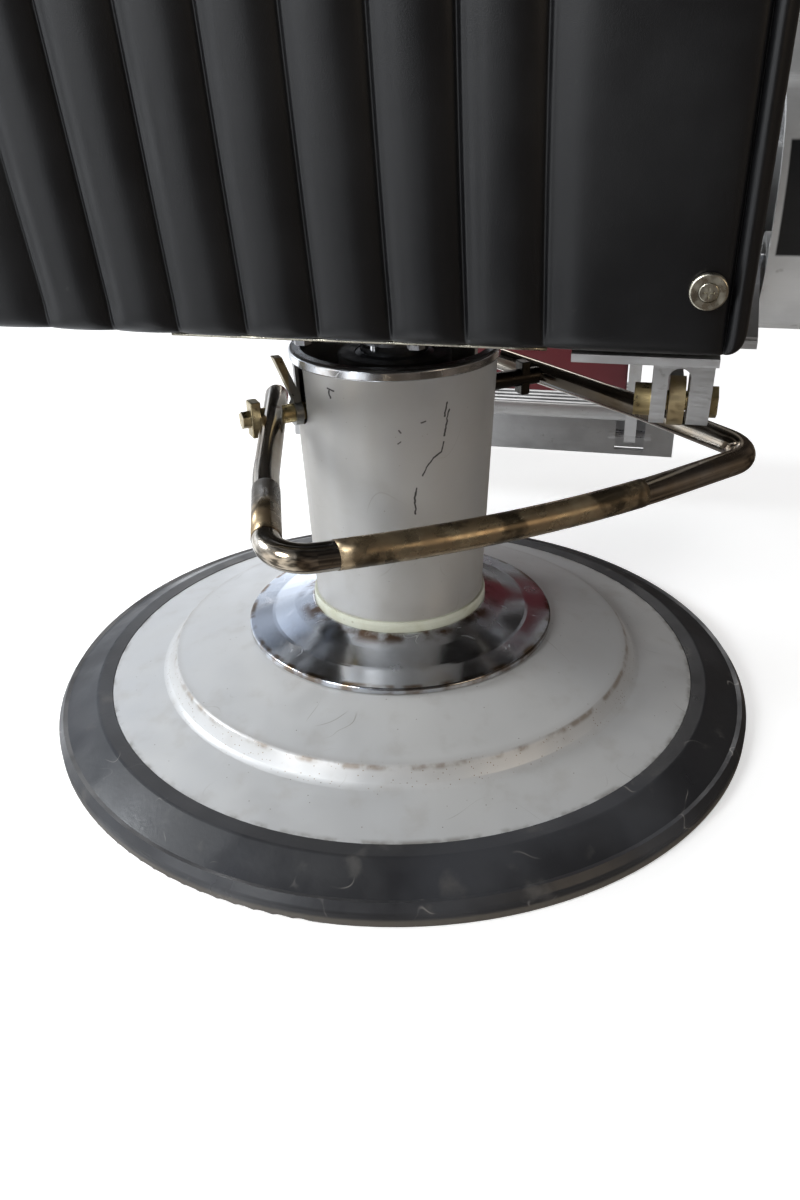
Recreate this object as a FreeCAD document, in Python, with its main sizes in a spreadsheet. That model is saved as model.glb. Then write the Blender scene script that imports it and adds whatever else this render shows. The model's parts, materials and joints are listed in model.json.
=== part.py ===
"""Hydraulic barber chair as a FreeCAD document, one object for each loose piece.

Millimetres, +Z up. The column's axis is Z, the floor is z = 0, and the sitter faces -Y,
so +X is the sitter's left. Everything is at rest: seat down, back upright.
"""
import FreeCAD, Part
import math
import os
import re
import Sketcher
from FreeCAD import Placement, Rotation, Vector

doc = FreeCAD.newDocument("barber_chair")
dims = doc.addObject("Spreadsheet::Sheet", "dims")

DRIVING = {
    # base, from the floor up
    "rim_radius": 340, "rim_inner": 287, "rim_lip": 14, "rim_top": 34, "rim_shoulder": 21,
    "cover_sheet": 3, "foot_radius": 233.5, "foot_level": 45, "crease_radius": 223, "crease_level": 60,
    "flange_radius": 149, "flange_level": 80, "flange_edge": 5, "flange_top": 104,
    "collar_radius": 83.7, "collar_top": 113.5,
    "casting_radius": 282, "casting_floor": 8, "casting_hub": 74, "casting_hub_top": 86,
    # column
    "shroud_foot": 80.6, "shroud_head": 90.3, "shroud_top": 340, "shroud_wall": 3,
    "trim_radius": 92.6, "trim_top": 349.5, "trim_inner": 83,
    "cylinder_outer": 48, "cylinder_bore": 38, "cylinder_top": 330,
    "ram_radius": 30, "ram_foot": 60, "ram_top": 352, "piston_height": 30, "spindle_radius": 20,
    "running": 0.05, "clearance": 0.3,
    # pump, in a frame turned about the column by pump_yaw
    "pump_yaw": 38, "shaft_level": 300, "shaft_radius": 8, "shaft_inner": 54,
    "bar_left": 113, "bar_right": 150, "bar_radius": 10.4, "bar_wall": 2.2, "bar_droop": 5.7,
    "bar_reach": 246, "bar_corner_left": 196, "bar_corner_right": 226, "bar_shoulder": 224, "bar_bend": 27,
    "bar_tail": 40, "lug_gap": 3.5, "lug_width": 9, "lug_tall": 31, "lug_deep": 14, "strap_face": 96.8,
    "plunger_across": 66, "plunger_along": 22, "plunger_radius": 5, "pump_low": 180, "pump_high": 262,
    # seat
    "race_low": 3, "ball_size": 5.8, "ball_track": 25.5, "ball_count": 16,
    "hub_level": 364, "hub_top": 396, "hub_radius": 62,
    "rail_inner": 264, "rail_outer": 278, "rail_low": 396, "rail_high": 436,
    "rail_front": -292, "rail_rear": 140, "board_low": 424, "seat_low": 436, "seat_high": 524,
    "seat_half": 248, "seat_front": -288, "seat_rear": 156,
    # arms
    "arm_inner": 278, "arm_outer": 312, "arm_rim": 5, "arm_web": 8, "arm_low": 404, "arm_high": 690,
    "arm_front": -256, "arm_rear": 205, "arm_pad_thick": 32, "arm_pad_half": 30,
    # back, in a frame that leans with it: depth is forward negative, height is up the back
    "pivot_y": 172, "pivot_z": 449, "pin_radius": 8, "foot_top": -3,
    "lean": 9, "back_edge_y": 285, "back_edge_z": 418, "back_half": 266, "back_tall": 570,
    "panel_thick": 26, "board_thick": 14, "back_pad_thick": 60,
    "fork_y": 224, "fork_z": 378, "fork_pin": 6, "link_x": 234.5,
    "link_half": 4.75, "link_eye": 15, "link_wide": 18,
    # headrest, in the leaning frame
    "post_gap": 62, "post_radius": 5, "head_low": 604, "head_tall": 130, "head_half": 140, "head_thick": 78,
    # leg rest, in a frame turned about its hinge
    "leg_y": -275, "leg_z": 420, "leg_lean": 32, "leg_long": 354, "leg_bar_in": 198, "leg_bar_out": 213,
    "ear_in": 218, "ear_out": 227, "crank_y": -223, "crank_z": 349,
    "calf_half": 190, "calf_thick": 52,
    # foot plate
    "foot_y": -462.591, "foot_z": 119.791, "foot_half": 262, "foot_deep": 152, "foot_sheet": 7,
}


def write_sheet():
    """Put each driving dimension in column B, under its name as alias."""
    for row, (name, number) in enumerate(DRIVING.items(), start=1):
        dims.set(f"A{row}", name)
        dims.set(f"B{row}", str(number))
        dims.setAlias(f"B{row}", name)
    doc.recompute()


write_sheet()


def formula(text):
    """A size in words, such as 'rim_radius - 5', as an expression on the sheet."""
    return re.sub(r"\b(?!sin\b|cos\b|atan\b|sqrt\b)[a-z][a-z_]+\b", r"dims.\g<0>", str(text))


def size(text):
    """The number that such an expression gives now."""
    return float(dims.evalExpression(formula(text)))


def bind(thing, prop, text):
    thing.setExpression(prop, formula(text))


# ---- parametric building blocks ------------------------------------------------------------

PARTS = []
ARM_BOLTS = ("-190", "78")


def name_part(thing, label):
    thing.Label = label
    PARTS.append(thing)
    return thing


def body_sketch(body, role, outline):
    """A closed outline on one of the body's origin planes, each corner bound to the sheet."""
    sketch = body.newObject("Sketcher::SketchObject", "outline")
    plane = [item for item in body.Origin.OriginFeatures if item.Role == role][0]
    sketch.AttachmentSupport = [(plane, "")]
    sketch.MapMode = "FlatFace"
    corners = [(size(across), size(up)) for across, up in outline]
    count = len(corners)
    for index in range(count):
        start = Vector(*corners[index], 0)
        end = Vector(*corners[(index + 1) % count], 0)
        sketch.addGeometry(Part.LineSegment(start, end))
    for index in range(count):
        sketch.addConstraint(Sketcher.Constraint("Coincident", (index - 1) % count, 2, index, 1))
    for index, words in enumerate(outline):
        for axis, kind in enumerate(("DistanceX", "DistanceY")):
            datum = Sketcher.Constraint(kind, -1, 1, index, 1, corners[index][axis])
            number = sketch.addConstraint(datum)
            bind(sketch, f"Constraints[{number}]", words[axis])
    return sketch


def round_off(body, edges, radius):
    """Fillet some of a body's edges by name."""
    base = body.Tip
    rounded = body.newObject("PartDesign::Fillet", "round")
    rounded.Base = (base, edges)
    bind(rounded, "Radius", radius)
    body.Tip = rounded


def turned(label, outline, rounds=()):
    """A ring or disc: an outline of (radius, level) corners turned about Z.

    rounds holds (radius, level, fillet) for the circular edges that are rounded."""
    body = doc.addObject("PartDesign::Body", label)
    sketch = body_sketch(body, "XZ_Plane", outline)
    ring = body.newObject("PartDesign::Revolution", "turning")
    ring.Profile = sketch
    ring.ReferenceAxis = (sketch, ["V_Axis"])
    ring.Angle = 360
    for radius, level, fillet in rounds:
        doc.recompute()
        round_off(body, ring_edges(body.Shape, size(radius), size(level)), fillet)
    return name_part(body, label)


def ring_edges(shape, radius, level):
    names = []
    for number, edge in enumerate(shape.Edges, start=1):
        curve = edge.Curve
        if isinstance(curve, Part.Circle) and abs(curve.Radius - radius) < 0.01:
            if abs(curve.Center.z - level) < 0.01 and edge.isClosed():
                names.append(f"Edge{number}")
    return names


def padded(label, role, outline, low, high, rounds=()):
    """An outline pushed out from low to high along its plane's normal.

    rounds holds (across, up, fillet) for corners of the outline that are rounded."""
    body = doc.addObject("PartDesign::Body", label)
    sketch = body_sketch(body, role, outline)
    pad = body.newObject("PartDesign::Pad", "push")
    pad.Profile = sketch
    bind(pad, "Length", f"({high}) - ({low})")
    normal = {"XY_Plane": "z", "XZ_Plane": "y", "YZ_Plane": "x"}[role]
    offset = f"-({high})" if role == "XZ_Plane" else low
    sketch.setExpression("AttachmentOffset.Base.z", formula(offset))
    for fillet in sorted({words[2] for words in rounds}):
        doc.recompute()
        spots = [(size(across), size(up)) for across, up, radius in rounds if radius == fillet]
        round_off(body, corner_edges(body.Shape, normal, spots), fillet)
    return body


def corner_edges(shape, normal, spots):
    """Names of the edges along the normal that stand on one of the outline's corners."""
    plane = {"x": ("y", "z"), "y": ("x", "z"), "z": ("x", "y")}[normal]
    names = []
    for number, edge in enumerate(shape.Edges, start=1):
        ends = [tuple(getattr(vertex.Point, axis) for axis in plane) for vertex in edge.Vertexes]
        for spot in spots:
            if len(ends) == 2 and all(math.dist(end, spot) < 0.01 for end in ends):
                names.append(f"Edge{number}")
    return names


def block(low, high):
    """A box between two opposite corners, each three expressions."""
    box = doc.addObject("Part::Box", "block")
    for prop, axis, near, far in zip(("Length", "Width", "Height"), "xyz", low, high):
        bind(box, prop, f"({far}) - ({near})")
        bind(box, f"Placement.Base.{axis}", near)
    return box


AXIS_TURN = {"x": Rotation(Vector(0, 1, 0), 90), "y": Rotation(Vector(1, 0, 0), -90), "z": Rotation()}


def rod(axis, across, up, radius, low, high):
    """A cylinder along x, y or z. across and up are its place in the two other axes."""
    cylinder = doc.addObject("Part::Cylinder", "rod")
    cylinder.Placement = Placement(Vector(), AXIS_TURN[axis])
    bind(cylinder, "Radius", radius)
    bind(cylinder, "Height", f"({high}) - ({low})")
    others = [name for name in "xyz" if name != axis]
    bind(cylinder, f"Placement.Base.{axis}", low)
    bind(cylinder, f"Placement.Base.{others[0]}", across)
    bind(cylinder, f"Placement.Base.{others[1]}", up)
    return cylinder


def hexagon(axis, across, up, radius, low, high):
    """A hexagonal prism, as a bolt head or nut."""
    prism = doc.addObject("Part::Prism", "hexagon")
    prism.Polygon = 6
    prism.Placement = Placement(Vector(), AXIS_TURN[axis])
    bind(prism, "Circumradius", radius)
    bind(prism, "Height", f"({high}) - ({low})")
    others = [name for name in "xyz" if name != axis]
    bind(prism, f"Placement.Base.{axis}", low)
    bind(prism, f"Placement.Base.{others[0]}", across)
    bind(prism, f"Placement.Base.{others[1]}", up)
    return prism


def joined(*pieces):
    fuse = doc.addObject("Part::MultiFuse", "joined")
    fuse.Shapes = list(pieces)
    return fuse


def less(base, *tools):
    cut = doc.addObject("Part::Cut", "less")
    cut.Base = base
    cut.Tool = tools[0] if len(tools) == 1 else joined(*tools)
    return cut


def softened(solid, radius, keep=None):
    """Round a solid's edges, all of them or those that keep() picks."""
    doc.recompute()
    edges = [number for number, edge in enumerate(solid.Shape.Edges, start=1) if keep is None or keep(edge)]
    fillet = doc.addObject("Part::Fillet", "softened")
    fillet.Base = solid
    fillet.Edges = [(number, size(radius), size(radius)) for number in edges]
    return fillet


def mirrored(source):
    """The same piece on the other side of the chair."""
    mirror = doc.addObject("Part::Mirroring", "mirrored")
    mirror.Source = source
    mirror.Normal = (1, 0, 0)
    return mirror


def group(label, *solids):
    """Loose solids that share one name, such as a set of screws."""
    compound = doc.addObject("Part::Compound", label)
    compound.Links = list(solids)
    return name_part(compound, label)


def pair(label, solid):
    """A piece for each side: the sitter's right and left, named after their side."""
    name_part(solid, f"{label}_right")
    return solid, name_part(mirrored(solid), f"{label}_left")


def both(label, solid):
    """One node that holds a piece and its mirror image."""
    return group(label, solid, mirrored(solid))


def shape_part(label, shape):
    feature = doc.addObject("Part::Feature", label)
    feature.Shape = shape
    return feature


def carried(thing, axis):
    """A holder round a piece, so that the piece keeps its own place when the holder turns."""
    holder = doc.addObject("Part::Compound", "holder")
    holder.Links = [thing]
    holder.Placement = Placement(Vector(), Rotation(axis, 1))
    return holder


def pump_frame(thing):
    """Turn a piece made square to the chair to the pump's own angle about the column."""
    holder = carried(thing, Vector(0, 0, 1))
    bind(holder, "Placement.Rotation.Angle", "pump_yaw")
    return holder


def leaning(thing, turn="-lean", across="back_edge_y", up="back_edge_z"):
    """Stand a piece that is made upright at the origin on a point, leaning about X."""
    holder = carried(thing, Vector(1, 0, 0))
    bind(holder, "Placement.Rotation.Angle", turn)
    bind(holder, "Placement.Base.y", across)
    bind(holder, "Placement.Base.z", up)
    return holder


def on_leg(thing):
    return leaning(thing, "-leg_lean", "leg_y", "leg_z")


# ---- base ----------------------------------------------------------------------------------


def ingredient(thing):
    """Take a piece back off the list: it is only used to make another one."""
    PARTS.remove(thing)
    return thing


def spun(solid, angle):
    """The same solid turned about the column's axis."""
    copy = doc.addObject("Part::Compound", "spun")
    copy.Links = [solid]
    copy.Placement = Placement(Vector(), Rotation(Vector(0, 0, 1), angle))
    return copy


def build_base():
    turned("rubber_rim", [
        ("rim_inner - 12", "0"), ("rim_radius", "0"), ("rim_radius", "rim_lip"), ("rim_radius - 5", "rim_shoulder"),
        ("rim_radius - 9", "rim_shoulder - 1"), ("rim_inner + 14", "rim_top"), ("rim_inner", "rim_top"),
        ("rim_inner", "rim_top - 14"), ("rim_inner - 12", "rim_top - 14")],
        [("rim_radius", "0", "3"), ("rim_radius", "rim_lip", "4"), ("rim_inner + 14", "rim_top", "6")])
    turned("base_cover", [
        ("rim_inner - 0.5", "rim_top - 13.5"), ("rim_inner - 0.5", "rim_top - 0.5"),
        ("foot_radius", "foot_level"), ("crease_radius", "crease_level"),
        ("flange_radius - 6", "flange_level"), ("collar_radius + 4", "flange_level + 4"),
        ("collar_radius + 4", "flange_level + 4 - cover_sheet"),
        ("flange_radius - 6", "flange_level - cover_sheet"), ("crease_radius - 3", "crease_level - cover_sheet"),
        ("foot_radius - 3", "foot_level - cover_sheet"), ("rim_inner - 5", "rim_top - cover_sheet - 1"),
        ("rim_inner - 5", "rim_top - 13.5")],
        [("foot_radius", "foot_level", "9"), ("crease_radius", "crease_level", "4")])
    hub = ingredient(turned("casting_hub_ring", [
        ("0", "0"), ("casting_radius - 8", "0"), ("casting_radius - 8", "casting_floor"),
        ("casting_hub", "casting_floor"), ("casting_hub", "casting_hub_top"),
        ("cylinder_outer + 0.5", "casting_hub_top"), ("cylinder_outer + 0.5", "12"), ("0", "12")]))
    rib = block(("casting_hub - 2", "-4", "casting_floor - 1"), ("casting_radius - 60", "4", "38"))
    ribs = [spun(rib, 60 * index) for index in range(6)]
    name_part(joined(hub, *ribs), "base_casting")
    turned("base_flange", [
        ("flange_radius", "flange_level"), ("flange_radius", "flange_level + flange_edge"),
        ("flange_radius - 24", "flange_level + 10"), ("collar_radius + 20", "flange_top - 6"),
        ("collar_radius + 2", "flange_top"), ("collar_radius + 0.5", "flange_top"),
        ("collar_radius + 0.5", "flange_level + 5"), ("flange_radius - 8", "flange_level + 1")],
        [("flange_radius", "flange_level + flange_edge", "2"), ("flange_radius - 24", "flange_level + 10", "20")])
    turned("bearing_collar", [
        ("casting_hub - 4", "casting_hub_top"), ("collar_radius", "casting_hub_top"),
        ("collar_radius", "collar_top - 3"), ("collar_radius - 0.8", "collar_top"),
        ("casting_hub - 4", "collar_top")])


# ---- column and hydraulic cylinder ----------------------------------------------------------


def build_column():
    shell = ingredient(turned("shroud_shell", [
        ("shroud_foot - shroud_wall", "collar_top"), ("shroud_foot", "collar_top"),
        ("shroud_head", "shroud_top"), ("shroud_head - shroud_wall", "shroud_top")]))
    slot = block(("-shroud_head - 5", "-shaft_radius - 3", "shaft_level"),
                 ("shroud_head + 5", "shaft_radius + 3", "shroud_top + 1"))
    round_end = rod("x", "0", "shaft_level", "shaft_radius + 3", "-shroud_head - 5", "shroud_head + 5")
    name_part(pump_frame(less(shell, slot, round_end)), "column_shroud")
    turned("column_trim_ring", [
        ("trim_inner", "shroud_top"), ("trim_radius", "shroud_top"), ("trim_radius", "trim_top"),
        ("trim_inner", "trim_top")],
        [("trim_radius", "shroud_top", "1.5"), ("trim_radius", "trim_top", "3")])
    turned("hydraulic_cylinder", [
        ("0", "12"), ("cylinder_outer", "12"), ("cylinder_outer", "cylinder_top"),
        ("cylinder_bore", "cylinder_top"), ("cylinder_bore", "26"), ("0", "26")])
    turned("cylinder_gland", [
        ("ram_radius + running", "cylinder_top - 22"), ("cylinder_bore - 0.1", "cylinder_top - 22"),
        ("cylinder_bore - 0.1", "cylinder_top"), ("cylinder_outer + 2", "cylinder_top"),
        ("cylinder_outer + 2", "cylinder_top + 12"), ("ram_radius + 5", "cylinder_top + 12"),
        ("ram_radius + 5", "cylinder_top + 4"), ("ram_radius + running", "cylinder_top + 4")],
        [("cylinder_outer + 2", "cylinder_top + 12", "2")])
    turned("gland_seal", [
        ("ram_radius + running", "cylinder_top + 4"), ("ram_radius + 5", "cylinder_top + 4"),
        ("ram_radius + 5", "cylinder_top + 11"), ("ram_radius + running", "cylinder_top + 13")])
    base_bolts = []
    for index in range(6):
        head = hexagon("z", "casting_hub - 13", "0", "6.5", "casting_hub_top", "casting_hub_top + 6")
        base_bolts.append(spun(head, 60 * index + 30))
    group("cylinder_bolts", *base_bolts)


# ---- pump ----------------------------------------------------------------------------------


def bent_path(corners, bends):
    """A wire of straight runs joined by tangent arcs, one bend radius for each inner corner."""
    edges = []
    start = corners[0]
    for index in range(1, len(corners) - 1):
        before = (corners[index - 1] - corners[index]).normalize()
        after = (corners[index + 1] - corners[index]).normalize()
        half = before.getAngle(after) / 2
        reach = bends[index - 1] / math.tan(half)
        middle = corners[index] + (before + after).normalize() * (bends[index - 1] / math.sin(half) - bends[index - 1])
        enter = corners[index] + before * reach
        leave = corners[index] + after * reach
        edges.append(Part.LineSegment(start, enter).toShape())
        edges.append(Part.Arc(enter, middle, leave).toShape())
        start = leave
    edges.append(Part.LineSegment(start, corners[-1]).toShape())
    return Part.Wire(edges)


def swept(path, radius):
    """A round bar of one radius along a wire."""
    first = path.Edges[0]
    start = first.valueAt(first.FirstParameter)
    circle = Part.Circle(start, first.tangentAt(first.FirstParameter), radius)
    return path.makePipeShell([Part.Wire(circle.toShape())], True, False)


def pump_bar_path():
    """The bar's centre line: two arms that flare outwards and a cross bar with a gentle bow."""
    left, right = size("bar_left"), size("bar_right")
    wide_left, wide_right = size("bar_corner_left"), size("bar_corner_right")
    shoulder, reach, tail = size("bar_shoulder"), size("bar_reach"), size("bar_tail")
    flare_left = (wide_left - left) / shoulder
    flare_right = (wide_right - right) / shoulder
    corners = [
        Vector(left - flare_left * tail, -tail, 0),
        Vector(left + flare_left * shoulder * 0.52, shoulder * 0.47, 0),
        Vector(wide_left, shoulder + 4, 0),
        Vector(0, reach + 8, 0),
        Vector(-wide_right, shoulder - 6, 0),
        Vector(-right - flare_right * shoulder * 0.56, shoulder * 0.46, 0),
        Vector(-right + flare_right * tail, -tail - 8, 0)]
    bend = size("bar_bend")
    return bent_path(corners, [260, bend, 900, bend, 260])


def bar_frame(thing):
    """The bar's own plane: it leaves the shaft and droops towards its cross bar."""
    droop = Rotation(Vector(1, 0, 0), -size("bar_droop"))
    yaw = Rotation(Vector(0, 0, 1), size("pump_yaw"))
    thing.Placement = Placement(yaw.multVec(Vector(0, 0, size("shaft_level"))), yaw * droop)
    return thing


def build_pump_bar():
    path = pump_bar_path()
    outer = swept(path, size("bar_radius"))
    inner = swept(path, size("bar_radius - bar_wall"))
    cross_hole = Part.makeCylinder(size("shaft_radius"), 60, Vector(size("bar_left") - 30, 0, 0), Vector(1, 0, 0))
    far_hole = Part.makeCylinder(size("shaft_radius"), 60, Vector(-size("bar_right") - 30, 0, 0), Vector(1, 0, 0))
    tube = outer.cut(inner).cut(cross_hole).cut(far_hole)
    name_part(bar_frame(shape_part("pump_bar", tube)), "pump_bar")
    plugs = []
    for edge, at_start in ((path.OrderedEdges[0], True), (path.OrderedEdges[-1], False)):
        ends = (edge.FirstParameter, edge.LastParameter)
        centre = edge.valueAt(ends[0] if at_start else ends[1])
        away = edge.tangentAt(ends[0] if at_start else ends[1]) * (-1 if at_start else 1)
        dome = Part.makeSphere(size("bar_radius"), centre, away, 0, 90, 360)
        stem = Part.makeCylinder(size("bar_radius - bar_wall"), 12, centre - away * 12, away)
        plugs.append(dome.fuse(stem))
    name_part(bar_frame(shape_part("bar_end_plugs", Part.makeCompound(plugs))), "bar_end_plugs")


def build_pump():
    build_pump_bar()
    left_end = "bar_left + bar_radius + lug_gap"
    right_end = "-bar_right - bar_radius - 2"
    right_lug = "-bar_right + bar_radius + lug_gap"
    left_shaft = rod("x", "0", "shaft_level", "shaft_radius", "shaft_inner", left_end)
    right_shaft = rod("x", "0", "shaft_level", "shaft_radius", right_end, "-shaft_inner")
    group("pump_shafts", pump_frame(left_shaft), pump_frame(right_shaft))
    lugs = []
    for near in (left_end, right_lug):
        lug = block((near, "-lug_deep / 2", "shaft_level - lug_tall / 2"),
                    (f"{near} + lug_width", "lug_deep / 2", "shaft_level + lug_tall / 2"))
        lugs.append(softened(lug, "1.5"))
    bore = rod("x", "0", "shaft_level", "shaft_radius + running", f"{right_lug} - 1", f"{right_lug} + lug_width + 1")
    group("bar_clamps", pump_frame(lugs[0]), pump_frame(less(lugs[1], bore)), pump_frame(build_strap()))
    left_bolt = hexagon("x", "0", "shaft_level", "7.5", f"{left_end} + lug_width", f"{left_end} + lug_width + 7")
    right_bolt = hexagon("x", "0", "shaft_level", "6", f"{right_end} - 5", right_end)
    group("clamp_bolts", pump_frame(left_bolt), pump_frame(right_bolt))
    hub = rod("x", "0", "shaft_level", "shaft_radius + 5", "plunger_across - 7", "plunger_across + 5")
    nose = rod("x", "plunger_along", "shaft_level + 2", "6", "plunger_across - 7", "plunger_across + 5")
    arm = block(("plunger_across - 7", "0", "shaft_level - 3"), ("plunger_across + 5", "plunger_along", "shaft_level + 7"))
    bore = rod("x", "0", "shaft_level", "shaft_radius", "plunger_across - 8", "plunger_across + 6")
    name_part(pump_frame(less(joined(hub, nose, arm), bore)), "pump_crank")
    build_pump_cylinder()


def build_strap():
    """Flat arm on the left shaft that stands up beside the column."""
    eye = rod("x", "0", "shaft_level", "11", "shroud_head", "strap_face")
    arm = padded("strap", "XZ_Plane", [
        ("shroud_head", "shaft_level"), ("strap_face", "shaft_level"), ("strap_face", "shaft_level + 12"),
        ("strap_face + 15", "shaft_level + 50"), ("strap_face + 8", "shaft_level + 50"),
        ("shroud_head", "shaft_level + 14")], "-5", "5")
    bore = rod("x", "0", "shaft_level", "shaft_radius + running", "shroud_head - 1", "strap_face + 1")
    return less(joined(eye, arm), bore)


def build_pump_cylinder():
    """The small pump beside the main cylinder, and the ring that carries the shafts."""
    top = "shaft_level - 4 - clearance"
    stem = rod("z", "plunger_across", "plunger_along", "plunger_radius", "pump_low + 14", f"{top} - 6")
    collar = rod("z", "plunger_across", "plunger_along", "plunger_radius + 4.5", f"{top} - 6", top)
    name_part(pump_frame(joined(stem, collar)), "pump_plunger")
    barrel = rod("z", "plunger_across", "plunger_along", "10.5", "pump_low", "pump_high")
    foot = block(("cylinder_outer - 6", "plunger_along - 9", "pump_low"),
                 ("plunger_across", "plunger_along + 9", "pump_low + 30"))
    bore = rod("z", "plunger_across", "plunger_along", "plunger_radius + running", "pump_low + 3", "pump_high + 1")
    main = rod("z", "0", "0", "cylinder_outer + 0.2", "pump_low - 1", "pump_low + 31")
    name_part(pump_frame(less(joined(barrel, foot), bore, main)), "pump_cylinder")
    spring_low, spring_high = size("pump_high") + 0.4, size(top) - 6.4
    wire = 0.9
    helix = Part.makeHelix((spring_high - spring_low - 2 * wire) / 5, spring_high - spring_low - 2 * wire, 7.4)
    circle = Part.Circle(Vector(7.4, 0, 0), Vector(0, 1, 0.1), wire)
    coil = Part.Wire(helix.Edges).makePipeShell([Part.Wire(circle.toShape())], True, True)
    coil.translate(Vector(size("plunger_across"), size("plunger_along"), spring_low + wire))
    name_part(pump_frame(shape_part("coil", coil)), "plunger_spring")
    ring = ingredient(turned("bracket_ring", [
        ("cylinder_outer + 0.2", "shaft_level - 12"), ("cylinder_outer + 7", "shaft_level - 12"),
        ("cylinder_outer + 7", "shaft_level + 12"), ("cylinder_outer + 0.2", "shaft_level + 12")]))
    pockets = rod("x", "0", "shaft_level", "shaft_radius + 2.5", "-shroud_head", "shroud_head")
    gap = rod("z", "plunger_across", "plunger_along", "12", "shaft_level - 13", "shaft_level + 13")
    left = rod("x", "0", "shaft_level", "shaft_radius + 6", "plunger_across + 6", "plunger_across + 13")
    left_stay = block(("plunger_across + 6", "-24", "shaft_level - 5"), ("plunger_across + 13", "0", "shaft_level + 5"))
    left_arm = block(("30", "-24", "shaft_level - 5"), ("plunger_across + 13", "-17", "shaft_level + 5"))
    right = rod("x", "0", "shaft_level", "shaft_radius + 6", "-plunger_across - 13", "-cylinder_outer - 4")
    main = rod("z", "0", "0", "cylinder_outer + 0.2", "shaft_level - 13", "shaft_level + 13")
    frame = less(joined(ring, left, left_stay, left_arm, right), pockets, gap, main)
    name_part(pump_frame(frame), "shaft_bracket")
    left_bush = rod("x", "0", "shaft_level", "shaft_radius + 2.5", "plunger_across + 6", "plunger_across + 13")
    right_bush = rod("x", "0", "shaft_level", "shaft_radius + 2.5", "-plunger_across - 13", "-shaft_inner - 2")
    bushes = []
    for bush in (left_bush, right_bush):
        hole = rod("x", "0", "shaft_level", "shaft_radius + running", "-shroud_head", "shroud_head")
        bushes.append(pump_frame(less(bush, hole)))
    group("shaft_bushes", *bushes)


# ---- ram and swivel --------------------------------------------------------------------------


def build_ram():
    turned("ram", [
        ("0", "ram_foot + 4"), ("ram_radius - 6", "ram_foot + 4"), ("ram_radius - 6", "ram_foot + piston_height"),
        ("ram_radius", "ram_foot + piston_height"), ("ram_radius", "ram_top"), ("spindle_radius", "ram_top"),
        ("spindle_radius", "hub_top - 4"), ("0", "hub_top - 4")],
        [("spindle_radius", "hub_top - 4", "2")])
    turned("piston", [
        ("ram_radius - 6", "ram_foot + 4"), ("cylinder_bore - running", "ram_foot + 4"),
        ("cylinder_bore - running", "ram_foot + 12"), ("cylinder_bore - 4", "ram_foot + 12"),
        ("cylinder_bore - 4", "ram_foot + 20"), ("cylinder_bore - running", "ram_foot + 20"),
        ("cylinder_bore - running", "ram_foot + piston_height"), ("ram_radius - 6", "ram_foot + piston_height")])
    turned("piston_seal", [
        ("cylinder_bore - 4", "ram_foot + 12"), ("cylinder_bore - running", "ram_foot + 12"),
        ("cylinder_bore - running", "ram_foot + 20"), ("cylinder_bore - 4", "ram_foot + 20")])
    turned("bearing_race_lower", [
        ("spindle_radius + running", "ram_top"), ("ram_radius + 2", "ram_top"),
        ("ram_radius + 2", "ram_top + race_low"), ("spindle_radius + running", "ram_top + race_low")])
    balls = []
    for index in range(int(size("ball_count"))):
        ball = doc.addObject("Part::Sphere", "ball")
        bind(ball, "Radius", "ball_size / 2")
        bind(ball, "Placement.Base.x", "ball_track")
        bind(ball, "Placement.Base.z", "(ram_top + race_low + hub_level - race_low) / 2")
        balls.append(spun(ball, 360 * index / size("ball_count")))
    group("bearing_balls", *balls)


# ---- seat ------------------------------------------------------------------------------------


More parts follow.
